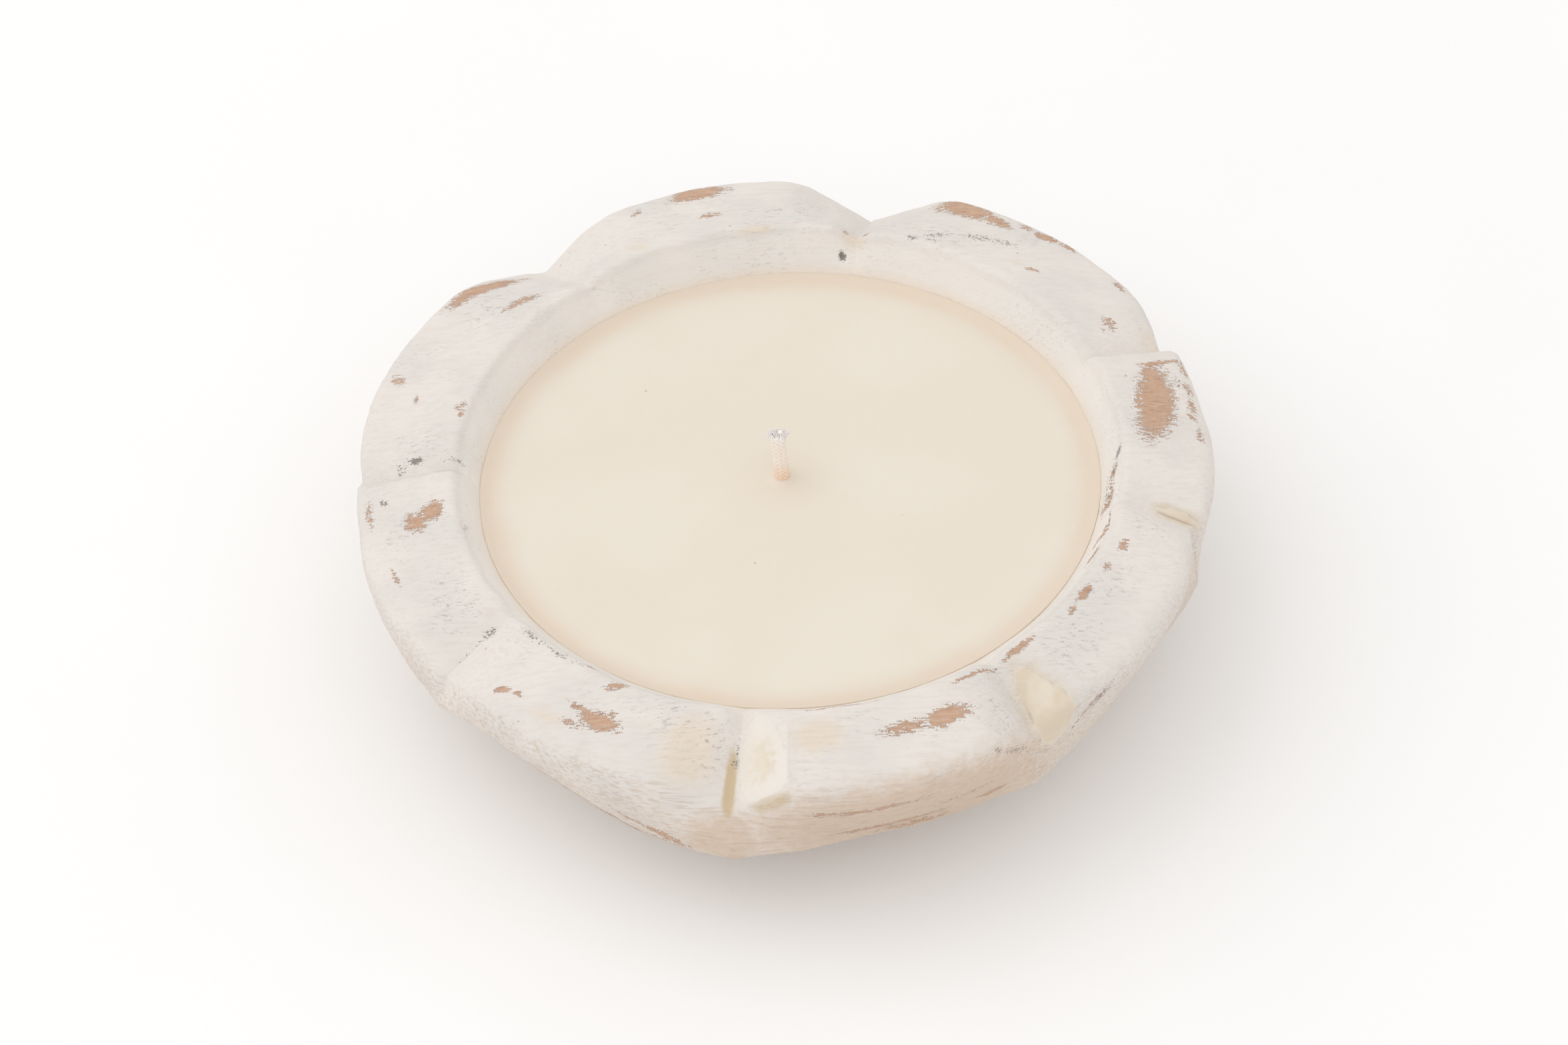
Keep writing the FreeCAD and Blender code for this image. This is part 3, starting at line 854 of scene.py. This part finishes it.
def waxed_cotton(colours):
    """Braided cotton soaked in wax: amber where it leaves the wax, white at its cut end."""
    material, tree, shader = new_material("waxed_cotton", 0.62)
    place = millimetres(tree)
    clouds = times(tree, noise_node(tree, place, 0.5, 3.0), 2.4)
    risen = plus(tree, level(tree, place), clouds)
    soaked = inverse(tree, eased(tree, risen, WAX_LEVEL + 1.6, WAX_LEVEL + 6.5))
    cut = eased(tree, risen, WICK_TOP - 1.2, WICK_TOP + 0.4)
    cotton = blend_colours(tree, soaked, colours.cotton, colours.amber)
    cotton = blend_colours(tree, cut, cotton, colours.cut_cotton)
    threads = fine_streaks(tree, place, 3.2, (1.0, 1.0, 0.25))
    darker = times(tree, eased(tree, threads, 0.55, 0.75), 0.16)
    cotton = blend_colours(tree, darker, cotton, colours.dark_wood)
    plug(tree, shader.inputs["Base Color"], cotton)
    raised(tree, shader, threads, 0.10)
    return material


def hardened_wax(colours):
    """A spill of wax and varnish that set in a groove."""
    material, tree, shader = new_material("hardened_wax", 0.36)
    place = millimetres(tree)
    spill = drifting_colour(tree, place, 0.16, colours.spill, colours.pale_spill)
    specks = scattered_specks(tree, place, 0.3, 0.09, 0.25)
    spill = blend_colours(tree, times(tree, specks, 0.4), spill, colours.speck)
    edge = around_zero(tree, noise_node(tree, place, 0.9, 3.0))
    rim = eased(tree, plus(tree, painted(tree, "rim"), edge), 0.2, 0.8)
    around = blend_colours(
        tree, painted(tree, "stain", "Alpha"), colours.paint, painted(tree, "stain", "Color"))
    plug(tree, shader.inputs["Base Color"], blend_colours(tree, rim, spill, around))
    rough = noise_node(tree, place, 0.8, 3.0)
    plug(tree, shader.inputs["Roughness"], scaled(tree, rough, 0.3, 0.30))
    raised(tree, shader, rough, 0.10)
    return material


def tinplate(colours):
    """Bright tinned sheet, brushed round and a little dulled."""
    material, tree, shader = new_material("tinplate", 0.32)
    place = millimetres(tree)
    streaks = fine_streaks(tree, place, 3.0, (0.15, 1.0, 1.0))
    metal = drifting_colour(tree, place, 0.3, colours.tin, colours.dull_tin)
    plug(tree, shader.inputs["Base Color"], metal)
    shader.inputs["Metallic"].default_value = 1.0
    plug(tree, shader.inputs["Roughness"], scaled(tree, streaks, 0.3, 0.18))
    raised(tree, shader, streaks, 0.03)
    return material


def fibrous(name, colour, other, stretch):
    """Paper or twisted cotton: soft clouds and fine fibres."""
    material, tree, shader = new_material(name, 0.85)
    place = millimetres(tree)
    sheet = drifting_colour(tree, place, 0.5, colour, other)
    fibres = fine_streaks(tree, place, 4.0, stretch)
    darker = times(tree, eased(tree, fibres, 0.5, 0.7), 0.25)
    plug(tree, shader.inputs["Base Color"], blend_colours(tree, darker, sheet, other))
    plug(tree, shader.inputs["Roughness"], scaled(tree, fibres, 0.2, 0.74))
    raised(tree, shader, fibres, 0.06)
    return material


def floor_paper():
    """White card under the object."""
    material, tree, shader = new_material("floor_paper", 0.9)
    card = drifting_colour(
        tree, millimetres(tree), 0.01, (0.94, 0.94, 0.94), (0.95, 0.95, 0.95))
    plug(tree, shader.inputs["Base Color"], card)
    return material


# ---------------------------------------------------------------- sizes and colours to change

def length(name, about, value):
    """A size that a user may change, given here in mm."""
    return bpy.props.FloatProperty(
        name=name, description=about, default=value * MM, min=0.0, precision=5, unit="LENGTH")


def shade(name, about, value):
    """A colour that a user may change."""
    return bpy.props.FloatVectorProperty(
        name=name, description=about, default=value, subtype="COLOR", min=0.0, max=1.0)


class BowlShape(bpy.types.PropertyGroup):
    lip_radius: length("Lip radius", "Radius of the crest round the hollow", 60.8)
    edge_height: length("Edge height", "Height of the lower edge", 20.0)
    belly_height: length("Belly height", "Height where the wall is fullest", 33.0)
    belly_bulge: length("Belly bulge", "How far the wall bows out", 1.6)
    base_radius: length("Base radius", "Radius of the flat underside", 49.0)
    knife_marks: length("Knife marks", "Height of the uneven carving", 0.32)


class WickShape(bpy.types.PropertyGroup):
    yarns: bpy.props.IntProperty(
        name="Yarns", description="Yarns that run each way round the braid", default=8, min=3)
    turn_height: length("Turn height", "Height of one turn of a yarn", 7.6)
    fibres: bpy.props.IntProperty(
        name="Fibres", description="Loose fibres at the cut end", default=170, min=0)
    lean: length("Lean", "How far the cut end leans over", 0.7)


class Colours(bpy.types.PropertyGroup):
    paint: shade("Paint", "Limed paint", (0.780, 0.735, 0.690))
    cool_paint: shade("Cool paint", "The paint's greyer clouds", (0.730, 0.695, 0.660))
    # lighter paint inside the lip: painted light against the hollow's shade
    lightened_inner_paint: shade("Clean paint", "Cleaner paint inside the lip", (0.87, 0.835, 0.795))
    wax_film: shade("Wax film", "Paint tinted by the wax below", (0.80, 0.71, 0.61))
    thin_paint: shade("Thin paint", "Paint that the wood shines through", (0.56, 0.43, 0.33))
    scuff: shade("Scuffs", "Grey scuffs in the paint", (0.36, 0.34, 0.33))
    speck: shade("Specks", "Small specks of dirt", (0.36, 0.27, 0.21))
    wood: shade("Wood", "Bare wood", (0.55, 0.34, 0.225))
    dark_wood: shade("Dark wood", "The bare wood's pores", (0.40, 0.22, 0.135))
    pale_wood: shade("Pale wood", "The bare wood's light streaks", (0.62, 0.44, 0.315))
    # soot and dirt, and also the painted shade along three grooves' roots
    dirt: shade("Dirt", "Soot and dirt", (0.13, 0.095, 0.08))
    wax: shade("Wax", "Candle wax", (0.775, 0.712, 0.608))
    cool_wax: shade("Cool wax", "The wax's paler clouds", (0.785, 0.728, 0.632))
    wax_rim: shade("Wax rim", "Warmer wax at the wall", (0.72, 0.565, 0.43))
    cotton: shade("Cotton", "Waxed cotton", (0.98, 0.89, 0.81))
    amber: shade("Amber", "Cotton soaked in wax", (0.96, 0.73, 0.55))
    cut_cotton: shade("Cut cotton", "The cut end of the wick", (0.98, 0.94, 0.93))
    spill: shade("Spill", "Hardened wax in the grooves", (0.69, 0.59, 0.46))
    pale_spill: shade("Pale spill", "The spill's paler clouds", (0.75, 0.675, 0.56))
    beige_stain: shade("Beige stain", "Stains in the paint", (0.755, 0.670, 0.575))
    olive_stain: shade("Olive stain", "Darker stains at a groove's root", (0.60, 0.475, 0.31))
    cream_stain: shade("Cream stain", "Pale wax on the paint", (0.80, 0.745, 0.66))
    # tan paint at the front corner, and painted shade on the front wall
    tan_paint_and_shade: shade("Tan stain", "Thin tan paint at the front corner", (0.66, 0.53, 0.42))
    tin: shade("Tin", "Tinplate", (0.72, 0.71, 0.69))
    dull_tin: shade("Dull tin", "Duller tinplate", (0.55, 0.54, 0.52))
    paper: shade("Paper", "The sticker's paper", (0.80, 0.77, 0.70))
    core_cotton: shade("Core cotton", "The wick's twisted core", (0.88, 0.83, 0.77))


class StageLook(bpy.types.PropertyGroup):
    elevation: bpy.props.FloatProperty(
        name="Elevation", description="Camera height over the horizon",
        default=math.radians(44.5), subtype="ANGLE")
    roll: bpy.props.FloatProperty(
        name="Roll", description="Camera tilt to one side", default=math.radians(3.0),
        subtype="ANGLE")
    distance: bpy.props.FloatProperty(
        name="Distance", description="Camera distance", default=1.1, unit="LENGTH")
    lens: bpy.props.FloatProperty(
        name="Lens", description="Focal length", default=139.15, unit="CAMERA")


# ---------------------------------------------------------------- operators

def carved_columns(shape):
    """Every column's direction, profile and runs along the surface."""
    columns = []
    for petal, share, direction in column_places():
        profile = rounded_profile(section(petal, share, direction, shape))
        columns.append((direction, profile, surface_runs(profile)))
    return columns


def out_from(runs, key, row):
    """How far outwards and down from a key point a row lies."""
    return runs[key_row(key)] - runs[row]


def deepest(marks, direction, runs, row):
    """The strongest mark at a place, and its strength."""
    best, found = 0.0, None
    for mark in marks:
        depth = mark_depth(mark, direction, out_from(runs, mark[0], row))
        value = mark[6] * min(1.0, 0.5 + 0.5 * depth / SOFT_RIM)
        if value > best:
            best, found = value, mark
    return best, found


def nick_depth(marks, direction, runs, row):
    """How deep the knife's nicks go at a place, in mm."""
    total = 0.0
    for mark in marks:
        depth = mark_depth(mark, direction, out_from(runs, mark[0], row))
        total += mark[6] * smooth(1.6 * depth)
    return total


# The knife's strokes set in this far out along the underside and reach their full height further
# out, and they fade again down to the wax.
STROKES_START = 52.0
STROKES_SET_IN = 10.0
STROKES_PAST_WAX = 1.5
STROKES_FADE = 5.0


def carving(place, runs, row, roughness):
    """How far the surface stands out or in at a place, from the knife's uneven strokes."""
    under = runs[row]
    if under < STROKES_START:
        return 0.0
    carved = smooth((under - STROKES_START) / STROKES_SET_IN)
    above_wax = out_from(runs, WAX_EDGE, row)
    carved *= smooth((above_wax + STROKES_PAST_WAX) / STROKES_FADE)
    broad = noise.noise(place * 0.085)
    facets = noise.noise(place * 0.22 + Vector((7.0, 3.0, 1.0)))
    fine = noise.noise(place * 0.55 + Vector((1.0, 9.0, 4.0)))
    return carved * roughness * (broad + 0.45 * facets + 0.22 * fine)


class CarveBowl(bpy.types.Operator):
    """Carve the bowl with its eight petals and paint its marks"""
    bl_idname = "candle_bowl.carve_bowl"
    bl_label = "Carve bowl"

    def execute(self, context):
        shape = context.scene.bowl_shape
        colours = context.scene.bowl_colours
        stain_and_shade_colours = {
            "beige": colours.beige_stain, "olive": colours.olive_stain,
            "cream": colours.cream_stain, "yellow": colours.spill, "tan": colours.tan_paint_and_shade}
        columns = carved_columns(shape)
        bm = bmesh.new()
        row = turned_blank(bm, columns[0][1], COLUMNS)
        bare, dark, scuffed, out, down = [
            bm.verts.layers.float.new(name) for name in ("bare", "dark", "scuffed", "out", "down")]
        stain = bm.verts.layers.float_color.new("stain")
        near = [
            [marks_near(marks, column[0])
             for marks in (BARE_WOOD, DARK_MARKS, SCUFFED, STAINS_AND_SHADE, NICKS)]
            for column in columns]
        sunk = {}
        for vert in bm.verts:
            angle = math.atan2(vert.co.y, vert.co.x) % (2 * math.pi)
            column = round(angle / (2 * math.pi) * COLUMNS) % COLUMNS
            direction, profile, runs = columns[column]
            number = vert[row]
            place = profile[number]
            turn = math.radians(direction)
            vert.co = Vector((place.x * math.cos(turn), place.x * math.sin(turn), place.y))
            bare_marks, dark_marks, scuffs, stains, nicks = near[column]
            vert[bare] = deepest(bare_marks, direction, runs, number)[0]
            # the dark layer holds soot and dirt, and also painted shade along grooves' roots
            vert[dark] = deepest(dark_marks, direction, runs, number)[0]
            vert[scuffed] = deepest(scuffs, direction, runs, number)[0]
            vert[out] = out_from(runs, LIP, number)
            vert[down] = out_from(runs, SHOULDER, number)
            # the stain layer also carries the painted shade on the front wall
            strength, mark = deepest(stains, direction, runs, number)
            colour = stain_and_shade_colours[mark[7]] if mark else colours.beige_stain
            vert[stain] = (*colour, strength)
            sunk[vert] = carving(vert.co, runs, number, shape.knife_marks / MM)
            sunk[vert] -= nick_depth(nicks, direction, runs, number)
        bmesh.ops.recalc_face_normals(bm, faces=bm.faces)
        bm.normal_update()
        for vert, height in sunk.items():
            vert.co += vert.normal * height
        bmesh.ops.scale(bm, vec=(MM, MM, MM), verts=bm.verts)
        new_piece("bowl", bm, "carved_bowl", whitewashed_wood(colours))
        return {"FINISHED"}


# Each spill: its name, the CAD node it stands for, its direction in degrees, how far out from the
# lip its middle lies, its half length outwards, its half width, its lean, its taper, its height
# and how softly its rim blends with the paint.
SPILLS = (
    ("spill_right", "groove_filler_right", 348.6, 10.4, 6.2, 1.4, 0.0, 0.0, 0.3, 0.9),
    ("spill_front_right", "groove_filler_front_right", 306.8, 12.0, 10.8, 3.9, -6.0, 0.4, 0.5, 0.4),
    ("spill_front", "groove_filler_front", 263.9, 8.6, 10.0, 5.0, -6.0, 0.1, 0.6, 1.3),
)


# A spill stays outside the lip's inner side, in mm; it is cut off past its rim at this depth, its
# edge is sunk in the paint, and it is this thick.
SPILL_INNER_END = -2.0
SPILL_CUT = -0.05
SPILL_SLOPE = 0.8
SPILL_SUNK = 0.06
SPILL_THICKNESS = 0.4


class FillGrooves(bpy.types.Operator):
    """Let wax and varnish set in three of the grooves"""
    bl_idname = "candle_bowl.fill_grooves"
    bl_label = "Fill grooves"

    def execute(self, context):
        bowl = bpy.data.objects["bowl"]
        material = hardened_wax(context.scene.bowl_colours)
        for name, replaced, direction, out, long, wide, lean, taper, height, blend in SPILLS:
            mark = (LIP, direction, out, long, wide, 90.0 + lean)
            bm = bmesh.new()
            bm.from_mesh(bowl.data)
            layer = bm.verts.layers.float["out"]
            rim = bm.verts.layers.float.new("rim")
            depths = {}
            for vert in bm.verts:
                at = math.degrees(math.atan2(vert.co.y, vert.co.x))
                outside = vert[layer] > SPILL_INNER_END
                depths[vert] = mark_depth(mark, at, vert[layer], taper) if outside else -1.0
            away = [vert for vert, depth in depths.items() if depth < SPILL_CUT]
            for vert, depth in depths.items():
                lifted = height * smooth(depth / SPILL_SLOPE) - SPILL_SUNK
                vert[rim] = 1.0 - smooth(depth / blend)
                vert.co += vert.normal * lifted * MM
            bmesh.ops.delete(bm, geom=away, context="VERTS")
            if not bm.faces:
                raise RuntimeError(f"{name} lies on no part of the bowl")
            bmesh.ops.smooth_vert(
                bm, verts=bm.verts, factor=0.5, use_axis_x=True, use_axis_y=True,
                use_axis_z=True)
            bmesh.ops.solidify(bm, geom=bm.faces, thickness=SPILL_THICKNESS * MM)
            new_piece(name, bm, replaced, material)
        return {"FINISHED"}


# The wax: rings of faces across its top and faces round it, its gap to the hollow, how far its
# rim reaches into the wall, and the rim that it climbs, the collar round the wick, the dip between
# them and its gentle waves.
WAX_RINGS = 56
WAX_SIDES = 192
WAX_GAP = 0.2
WAX_OVERLAP = 0.35
RIM_CLIMB = 0.55
RIM_WIDTH = 2.6
COLLAR_HEIGHT = 0.6
COLLAR_START = 1.3
COLLAR_WIDTH = 1.8
WAX_DIP = 0.18
WAX_WAVES = 0.10


class PourWax(bpy.types.Operator):
    """Pour the wax, with its raised rim and the collar round the wick"""
    bl_idname = "candle_bowl.pour_wax"
    bl_label = "Pour wax"

    def execute(self, context):
        bm = bmesh.new()
        rim = WAX_RADIUS + WAX_OVERLAP
        foot = HOLLOW_RADIUS - WAX_GAP
        profile = [
            (0.0, FLOOR_LEVEL),
            (foot, FLOOR_LEVEL),
            (foot + HOLLOW_CORNER, FLOOR_LEVEL + HOLLOW_CORNER),
            (53.0, (WAX_LEVEL + FLOOR_LEVEL) / 2),
            (rim, WAX_LEVEL - 1.5),
        ]
        top_row = len(profile)
        for ring in range(WAX_RINGS, -1, -1):
            profile.append((rim * smooth(ring / WAX_RINGS), WAX_LEVEL))
        row = turned_blank(bm, profile, WAX_SIDES)
        bm.verts.ensure_lookup_table()
        for vert in bm.verts:
            if vert[row] < top_row:
                continue
            radius = math.hypot(vert.co.x, vert.co.y)
            vert.co += Vector((WICK_X, WICK_Y, 0.0)) * (1.0 - smooth(radius / rim))
            climb = RIM_CLIMB * smooth((radius - (rim - RIM_WIDTH)) / RIM_WIDTH) ** 2
            collar = COLLAR_HEIGHT * (1.0 - smooth((radius - COLLAR_START) / COLLAR_WIDTH))
            dip = -WAX_DIP * math.sin(math.pi * min(radius / rim, 1.0)) ** 2
            wave = WAX_WAVES * noise.noise(vert.co * 0.045)
            vert.co.z += climb + collar + dip + wave
        bmesh.ops.scale(bm, vec=(MM, MM, MM), verts=bm.verts)
        new_piece("wax", bm, "wax_fill", candle_wax(context.scene.bowl_colours))
        return {"FINISHED"}


# The braid: half a yarn's thickness and width, the radius that its middle runs at, how far it
# stands out or in where yarns cross, its sides and its steps to a turn.
YARN_THICKNESS = 0.25
YARN_WIDTH = 0.52
BRAID_RADIUS = 1.06
CROSSING = 0.12
YARN_SIDES = 8
STEPS_PER_TURN = 26

# The frayed end above the braid, which was pinched flat from front to back.
TUFT_HEIGHT = 0.6
TUFT_RADIUS = 1.35
TUFT_FLATNESS = 0.55
FIBRE_SIDES = 4


def wick_lean(height, lean):
    """How far to the left the wick stands at a height."""
    risen = (height - WAX_LEVEL) / (WICK_TOP - WAX_LEVEL)
    return -lean * max(risen, 0.0) ** 1.4


class BraidWick(bpy.types.Operator):
    """Braid the cotton wick and fray its cut end"""
    bl_idname = "candle_bowl.braid_wick"
    bl_label = "Braid wick"

    def execute(self, context):
        shape = context.scene.wick_shape
        material = waxed_cotton(context.scene.bowl_colours)
        new_piece("wick", self.braid(shape), "wick_braid", material)
        new_piece("wick_fibres", self.cut_end(shape), None, material)
        return {"FINISHED"}

    def braid(self, shape):
        """Two sets of yarns wound opposite ways, each passing over one and under the next."""
        bm = bmesh.new()
        kind = bm.verts.layers.int.new("yarn")
        height = WICK_TOP - TUFT_HEIGHT - WICK_FOOT
        turns = height / (shape.turn_height / MM)
        steps = round(turns * STEPS_PER_TURN)
        flat = Matrix.Diagonal((YARN_THICKNESS, YARN_WIDTH, 1.0, 1.0))
        upright = Matrix.Rotation(math.pi / 2, 4, "X")
        out = Matrix.Translation((BRAID_RADIUS, 0.0, WICK_FOOT))
        for way in (1, -1):
            others = set(bm.verts)
            ring = bmesh.ops.create_circle(bm, segments=YARN_SIDES, radius=1.0)["verts"]
            bmesh.ops.transform(bm, matrix=out @ upright @ flat, verts=ring)
            edges = list({edge for vert in ring for edge in vert.link_edges})
            bmesh.ops.spin(
                bm, geom=ring + edges, cent=(0, 0, 0), axis=(0, 0, 1),
                dvec=(0, 0, height / steps), angle=way * turns * 2 * math.pi,
                steps=steps, use_merge=False, use_duplicate=False)
            first = [vert for vert in bm.verts if vert not in others]
            faces = list({face for vert in first for face in vert.link_faces})
            for vert in first:
                vert[kind] = way
            for yarn in range(1, shape.yarns):
                copied = bmesh.ops.duplicate(bm, geom=faces)["geom"]
                verts = [item for item in copied if isinstance(item, bmesh.types.BMVert)]
                around = Matrix.Rotation(2 * math.pi * yarn / shape.yarns, 4, "Z")
                bmesh.ops.transform(bm, matrix=around, verts=verts)
                for vert in verts:
                    vert[kind] = way * (yarn + 1)
        for vert in bm.verts:
            way, yarn = (1, vert[kind] - 1) if vert[kind] > 0 else (-1, -vert[kind] - 1)
            crossed = 2 * shape.yarns * turns * (vert.co.z - WICK_FOOT) / height
            over = way * math.cos(math.pi * (2 * yarn + way * crossed))
            radius = math.hypot(vert.co.x, vert.co.y)
            tight = 1.0 + CROSSING * over / radius
            vert.co.x = vert.co.x * tight + wick_lean(vert.co.z, shape.lean / MM)
            vert.co.y *= tight
        open_ends = [edge for edge in bm.edges if edge.is_boundary]
        bmesh.ops.holes_fill(bm, edges=open_ends, sides=YARN_SIDES)
        bmesh.ops.translate(bm, vec=(WICK_X, WICK_Y, 0.0), verts=bm.verts)
        bmesh.ops.scale(bm, vec=(MM, MM, MM), verts=bm.verts)
        return bm

    def cut_end(self, shape):
        """Short fibres that splay from the wick's end."""
        rng = random.Random(4)
        bm = bmesh.new()
        for _ in range(shape.fibres):
            radius = TUFT_RADIUS * math.sqrt(rng.random())
            length_of = rng.uniform(1.4, 2.2)
            bend = rng.uniform(0.05, 0.3) + 0.9 * (radius / TUFT_RADIUS) ** 2
            ring = bmesh.ops.create_circle(
                bm, segments=FIBRE_SIDES, radius=rng.uniform(0.08, 0.13))["verts"]
            edges = list({edge for vert in ring for edge in vert.link_edges})
            before = set(bm.verts) - set(ring)
            bmesh.ops.spin(
                bm, geom=ring + edges, cent=(length_of / bend, 0, 0), axis=(0, 1, 0),
                dvec=(0, 0, 0), angle=bend, steps=4, use_merge=False, use_duplicate=False)
            fibre = [vert for vert in bm.verts if vert not in before]
            rise = length_of / bend * math.sin(bend)
            foot = WICK_TOP - rng.uniform(0.05, 0.5) - rise
            angle = rng.uniform(0, 2 * math.pi)
            place = Matrix.Translation((wick_lean(foot, shape.lean / MM), 0.0, foot))
            turned = Matrix.Rotation(angle, 4, "Z") @ Matrix.Translation((radius, 0.0, 0.0))
            twisted = Matrix.Rotation(rng.uniform(-0.8, 0.8), 4, "Z")
            bmesh.ops.transform(bm, matrix=place @ turned @ twisted, verts=fibre)
        open_ends = [edge for edge in bm.edges if edge.is_boundary]
        bmesh.ops.holes_fill(bm, edges=open_ends, sides=FIBRE_SIDES)
        bmesh.ops.scale(bm, vec=(1.0, TUFT_FLATNESS, 1.0), verts=bm.verts)
        bmesh.ops.translate(bm, vec=(WICK_X, WICK_Y, 0.0), verts=bm.verts)
        bmesh.ops.scale(bm, vec=(MM, MM, MM), verts=bm.verts)
        return bm


class FinishFittings(bpy.types.Operator):
    """Give the wick's core, its tin foot and the foot's sticker their finishes"""
    bl_idname = "candle_bowl.finish_fittings"
    bl_label = "Finish fittings"

    def execute(self, context):
        colours = context.scene.bowl_colours
        finishes = {
            "wick_core": fibrous(
                "twisted_cotton", colours.core_cotton, colours.cotton, (1.0, 1.0, 0.2)),
            "wick_sustainer": tinplate(colours),
            "sustainer_sticker": fibrous(
                "sticker_paper", colours.paper, colours.beige_stain, (0.3, 1.0, 1.0)),
        }
        for name, material in finishes.items():
            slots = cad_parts[name].material_slots
            if not slots:
                raise RuntimeError(f"{name} has no material slot")
            for slot in slots:
                slot.material = material
        return {"FINISHED"}


# Each lamp: its name, its place and its size in metres, and its power in watts.
LAMPS = (
    ("key", (-0.9, 0.15, 1.2), 1.6, 5.0),
    ("fill", (0.1, -0.9, 1.1), 1.2, 1.2),
)
STUDIO_LIGHT = (1.0, 0.985, 0.97, 1.0)
STUDIO_STRENGTH = 0.90

# How far the wax's middle stands to the right of and above the frame's middle, in mm.
WAX_RIGHT = 1.1
WAX_ABOVE = 6.9


class SetStage(bpy.types.Operator):
    """Lay the floor and set the lights and the camera"""
    bl_idname = "candle_bowl.set_stage"
    bl_label = "Set stage"

    def execute(self, context):
        self.floor(context)
        self.lights(context)
        self.camera(context)
        return {"FINISHED"}

    def floor(self, context):
        """A wide white floor."""
        bm = bmesh.new()
        bmesh.ops.create_grid(bm, x_segments=2, y_segments=2, size=3.0)
        mesh = bpy.data.meshes.new("floor")
        bm.to_mesh(mesh)
        bm.free()
        floor = bpy.data.objects.new("floor", mesh)
        context.collection.objects.link(floor)
        mesh.materials.append(floor_paper())

    def lights(self, context):
        """Even light all round and two soft lamps."""
        world = bpy.data.worlds.new("studio")
        context.scene.world = world
        world.use_nodes = True
        background = world.node_tree.nodes["Background"]
        background.inputs["Color"].default_value = STUDIO_LIGHT
        background.inputs["Strength"].default_value = STUDIO_STRENGTH
        for name, place, size, power in LAMPS:
            lamp = bpy.data.lights.new(name, "AREA")
            lamp.size = size
            lamp.energy = power
            light = bpy.data.objects.new(name, lamp)
            light.location = place
            light.rotation_mode = "QUATERNION"
            light.rotation_quaternion = (-Vector(place)).to_track_quat("-Z", "Y")
            context.collection.objects.link(light)

    def camera(self, context):
        """A camera that looks down on the bowl from the front."""
        look = context.scene.stage_look
        camera = bpy.data.cameras.new("camera")
        camera.lens = look.lens
        camera.sensor_width = 36.0
        view = bpy.data.objects.new("camera", camera)
        context.collection.objects.link(view)
        forward = Vector((0, math.cos(look.elevation), -math.sin(look.elevation)))
        up = Vector((0, math.sin(look.elevation), math.cos(look.elevation)))
        right = Vector((1, 0, 0))
        rolled_right = right * math.cos(look.roll) - up * math.sin(look.roll)
        rolled_up = right * math.sin(look.roll) + up * math.cos(look.roll)
        eye = Vector((0, 0, WAX_LEVEL * MM)) - forward * look.distance
        aim = -rolled_right * WAX_RIGHT * MM - rolled_up * WAX_ABOVE * MM
        ahead = (forward * look.distance + aim).normalized()
        side = ahead.cross(rolled_up).normalized()
        over = side.cross(ahead)
        turned = Matrix((side, over, -ahead)).transposed()
        view.matrix_world = Matrix.Translation(eye) @ turned.to_4x4()
        context.scene.camera = view
        context.scene.view_settings.view_transform = "Standard"


class CandleBowlPanel(bpy.types.Panel):
    """The steps that make the candle bowl, and what a user may change"""
    bl_idname = "VIEW3D_PT_candle_bowl"
    bl_label = "Candle bowl"
    bl_space_type = "VIEW_3D"
    bl_region_type = "UI"
    bl_category = "Candle bowl"

    def draw(self, context):
        for operator in STEPS:
            self.layout.operator(operator.bl_idname)
        for settings in ("bowl_shape", "wick_shape", "bowl_colours", "stage_look"):
            group = getattr(context.scene, settings)
            box = self.layout.box()
            for name in group.__annotations__:
                box.prop(group, name)


STEPS = (SetStage, CarveBowl, FillGrooves, PourWax, BraidWick, FinishFittings)
SETTINGS = {
    "bowl_shape": BowlShape, "wick_shape": WickShape, "bowl_colours": Colours,
    "stage_look": StageLook}


def register():
    for cls in (*SETTINGS.values(), *STEPS, CandleBowlPanel):
        bpy.utils.register_class(cls)
    for name, cls in SETTINGS.items():
        setattr(bpy.types.Scene, name, bpy.props.PointerProperty(type=cls))


def unregister():
    for name in SETTINGS:
        delattr(bpy.types.Scene, name)
    for cls in (CandleBowlPanel, *reversed(STEPS), *SETTINGS.values()):
        bpy.utils.unregister_class(cls)


def main():
    register()
    bpy.ops.candle_bowl.set_stage()
    bpy.ops.candle_bowl.carve_bowl()
    bpy.ops.candle_bowl.fill_grooves()
    bpy.ops.candle_bowl.pour_wax()
    bpy.ops.candle_bowl.braid_wick()
    bpy.ops.candle_bowl.finish_fittings()


if __name__ == "__main__":
    main()
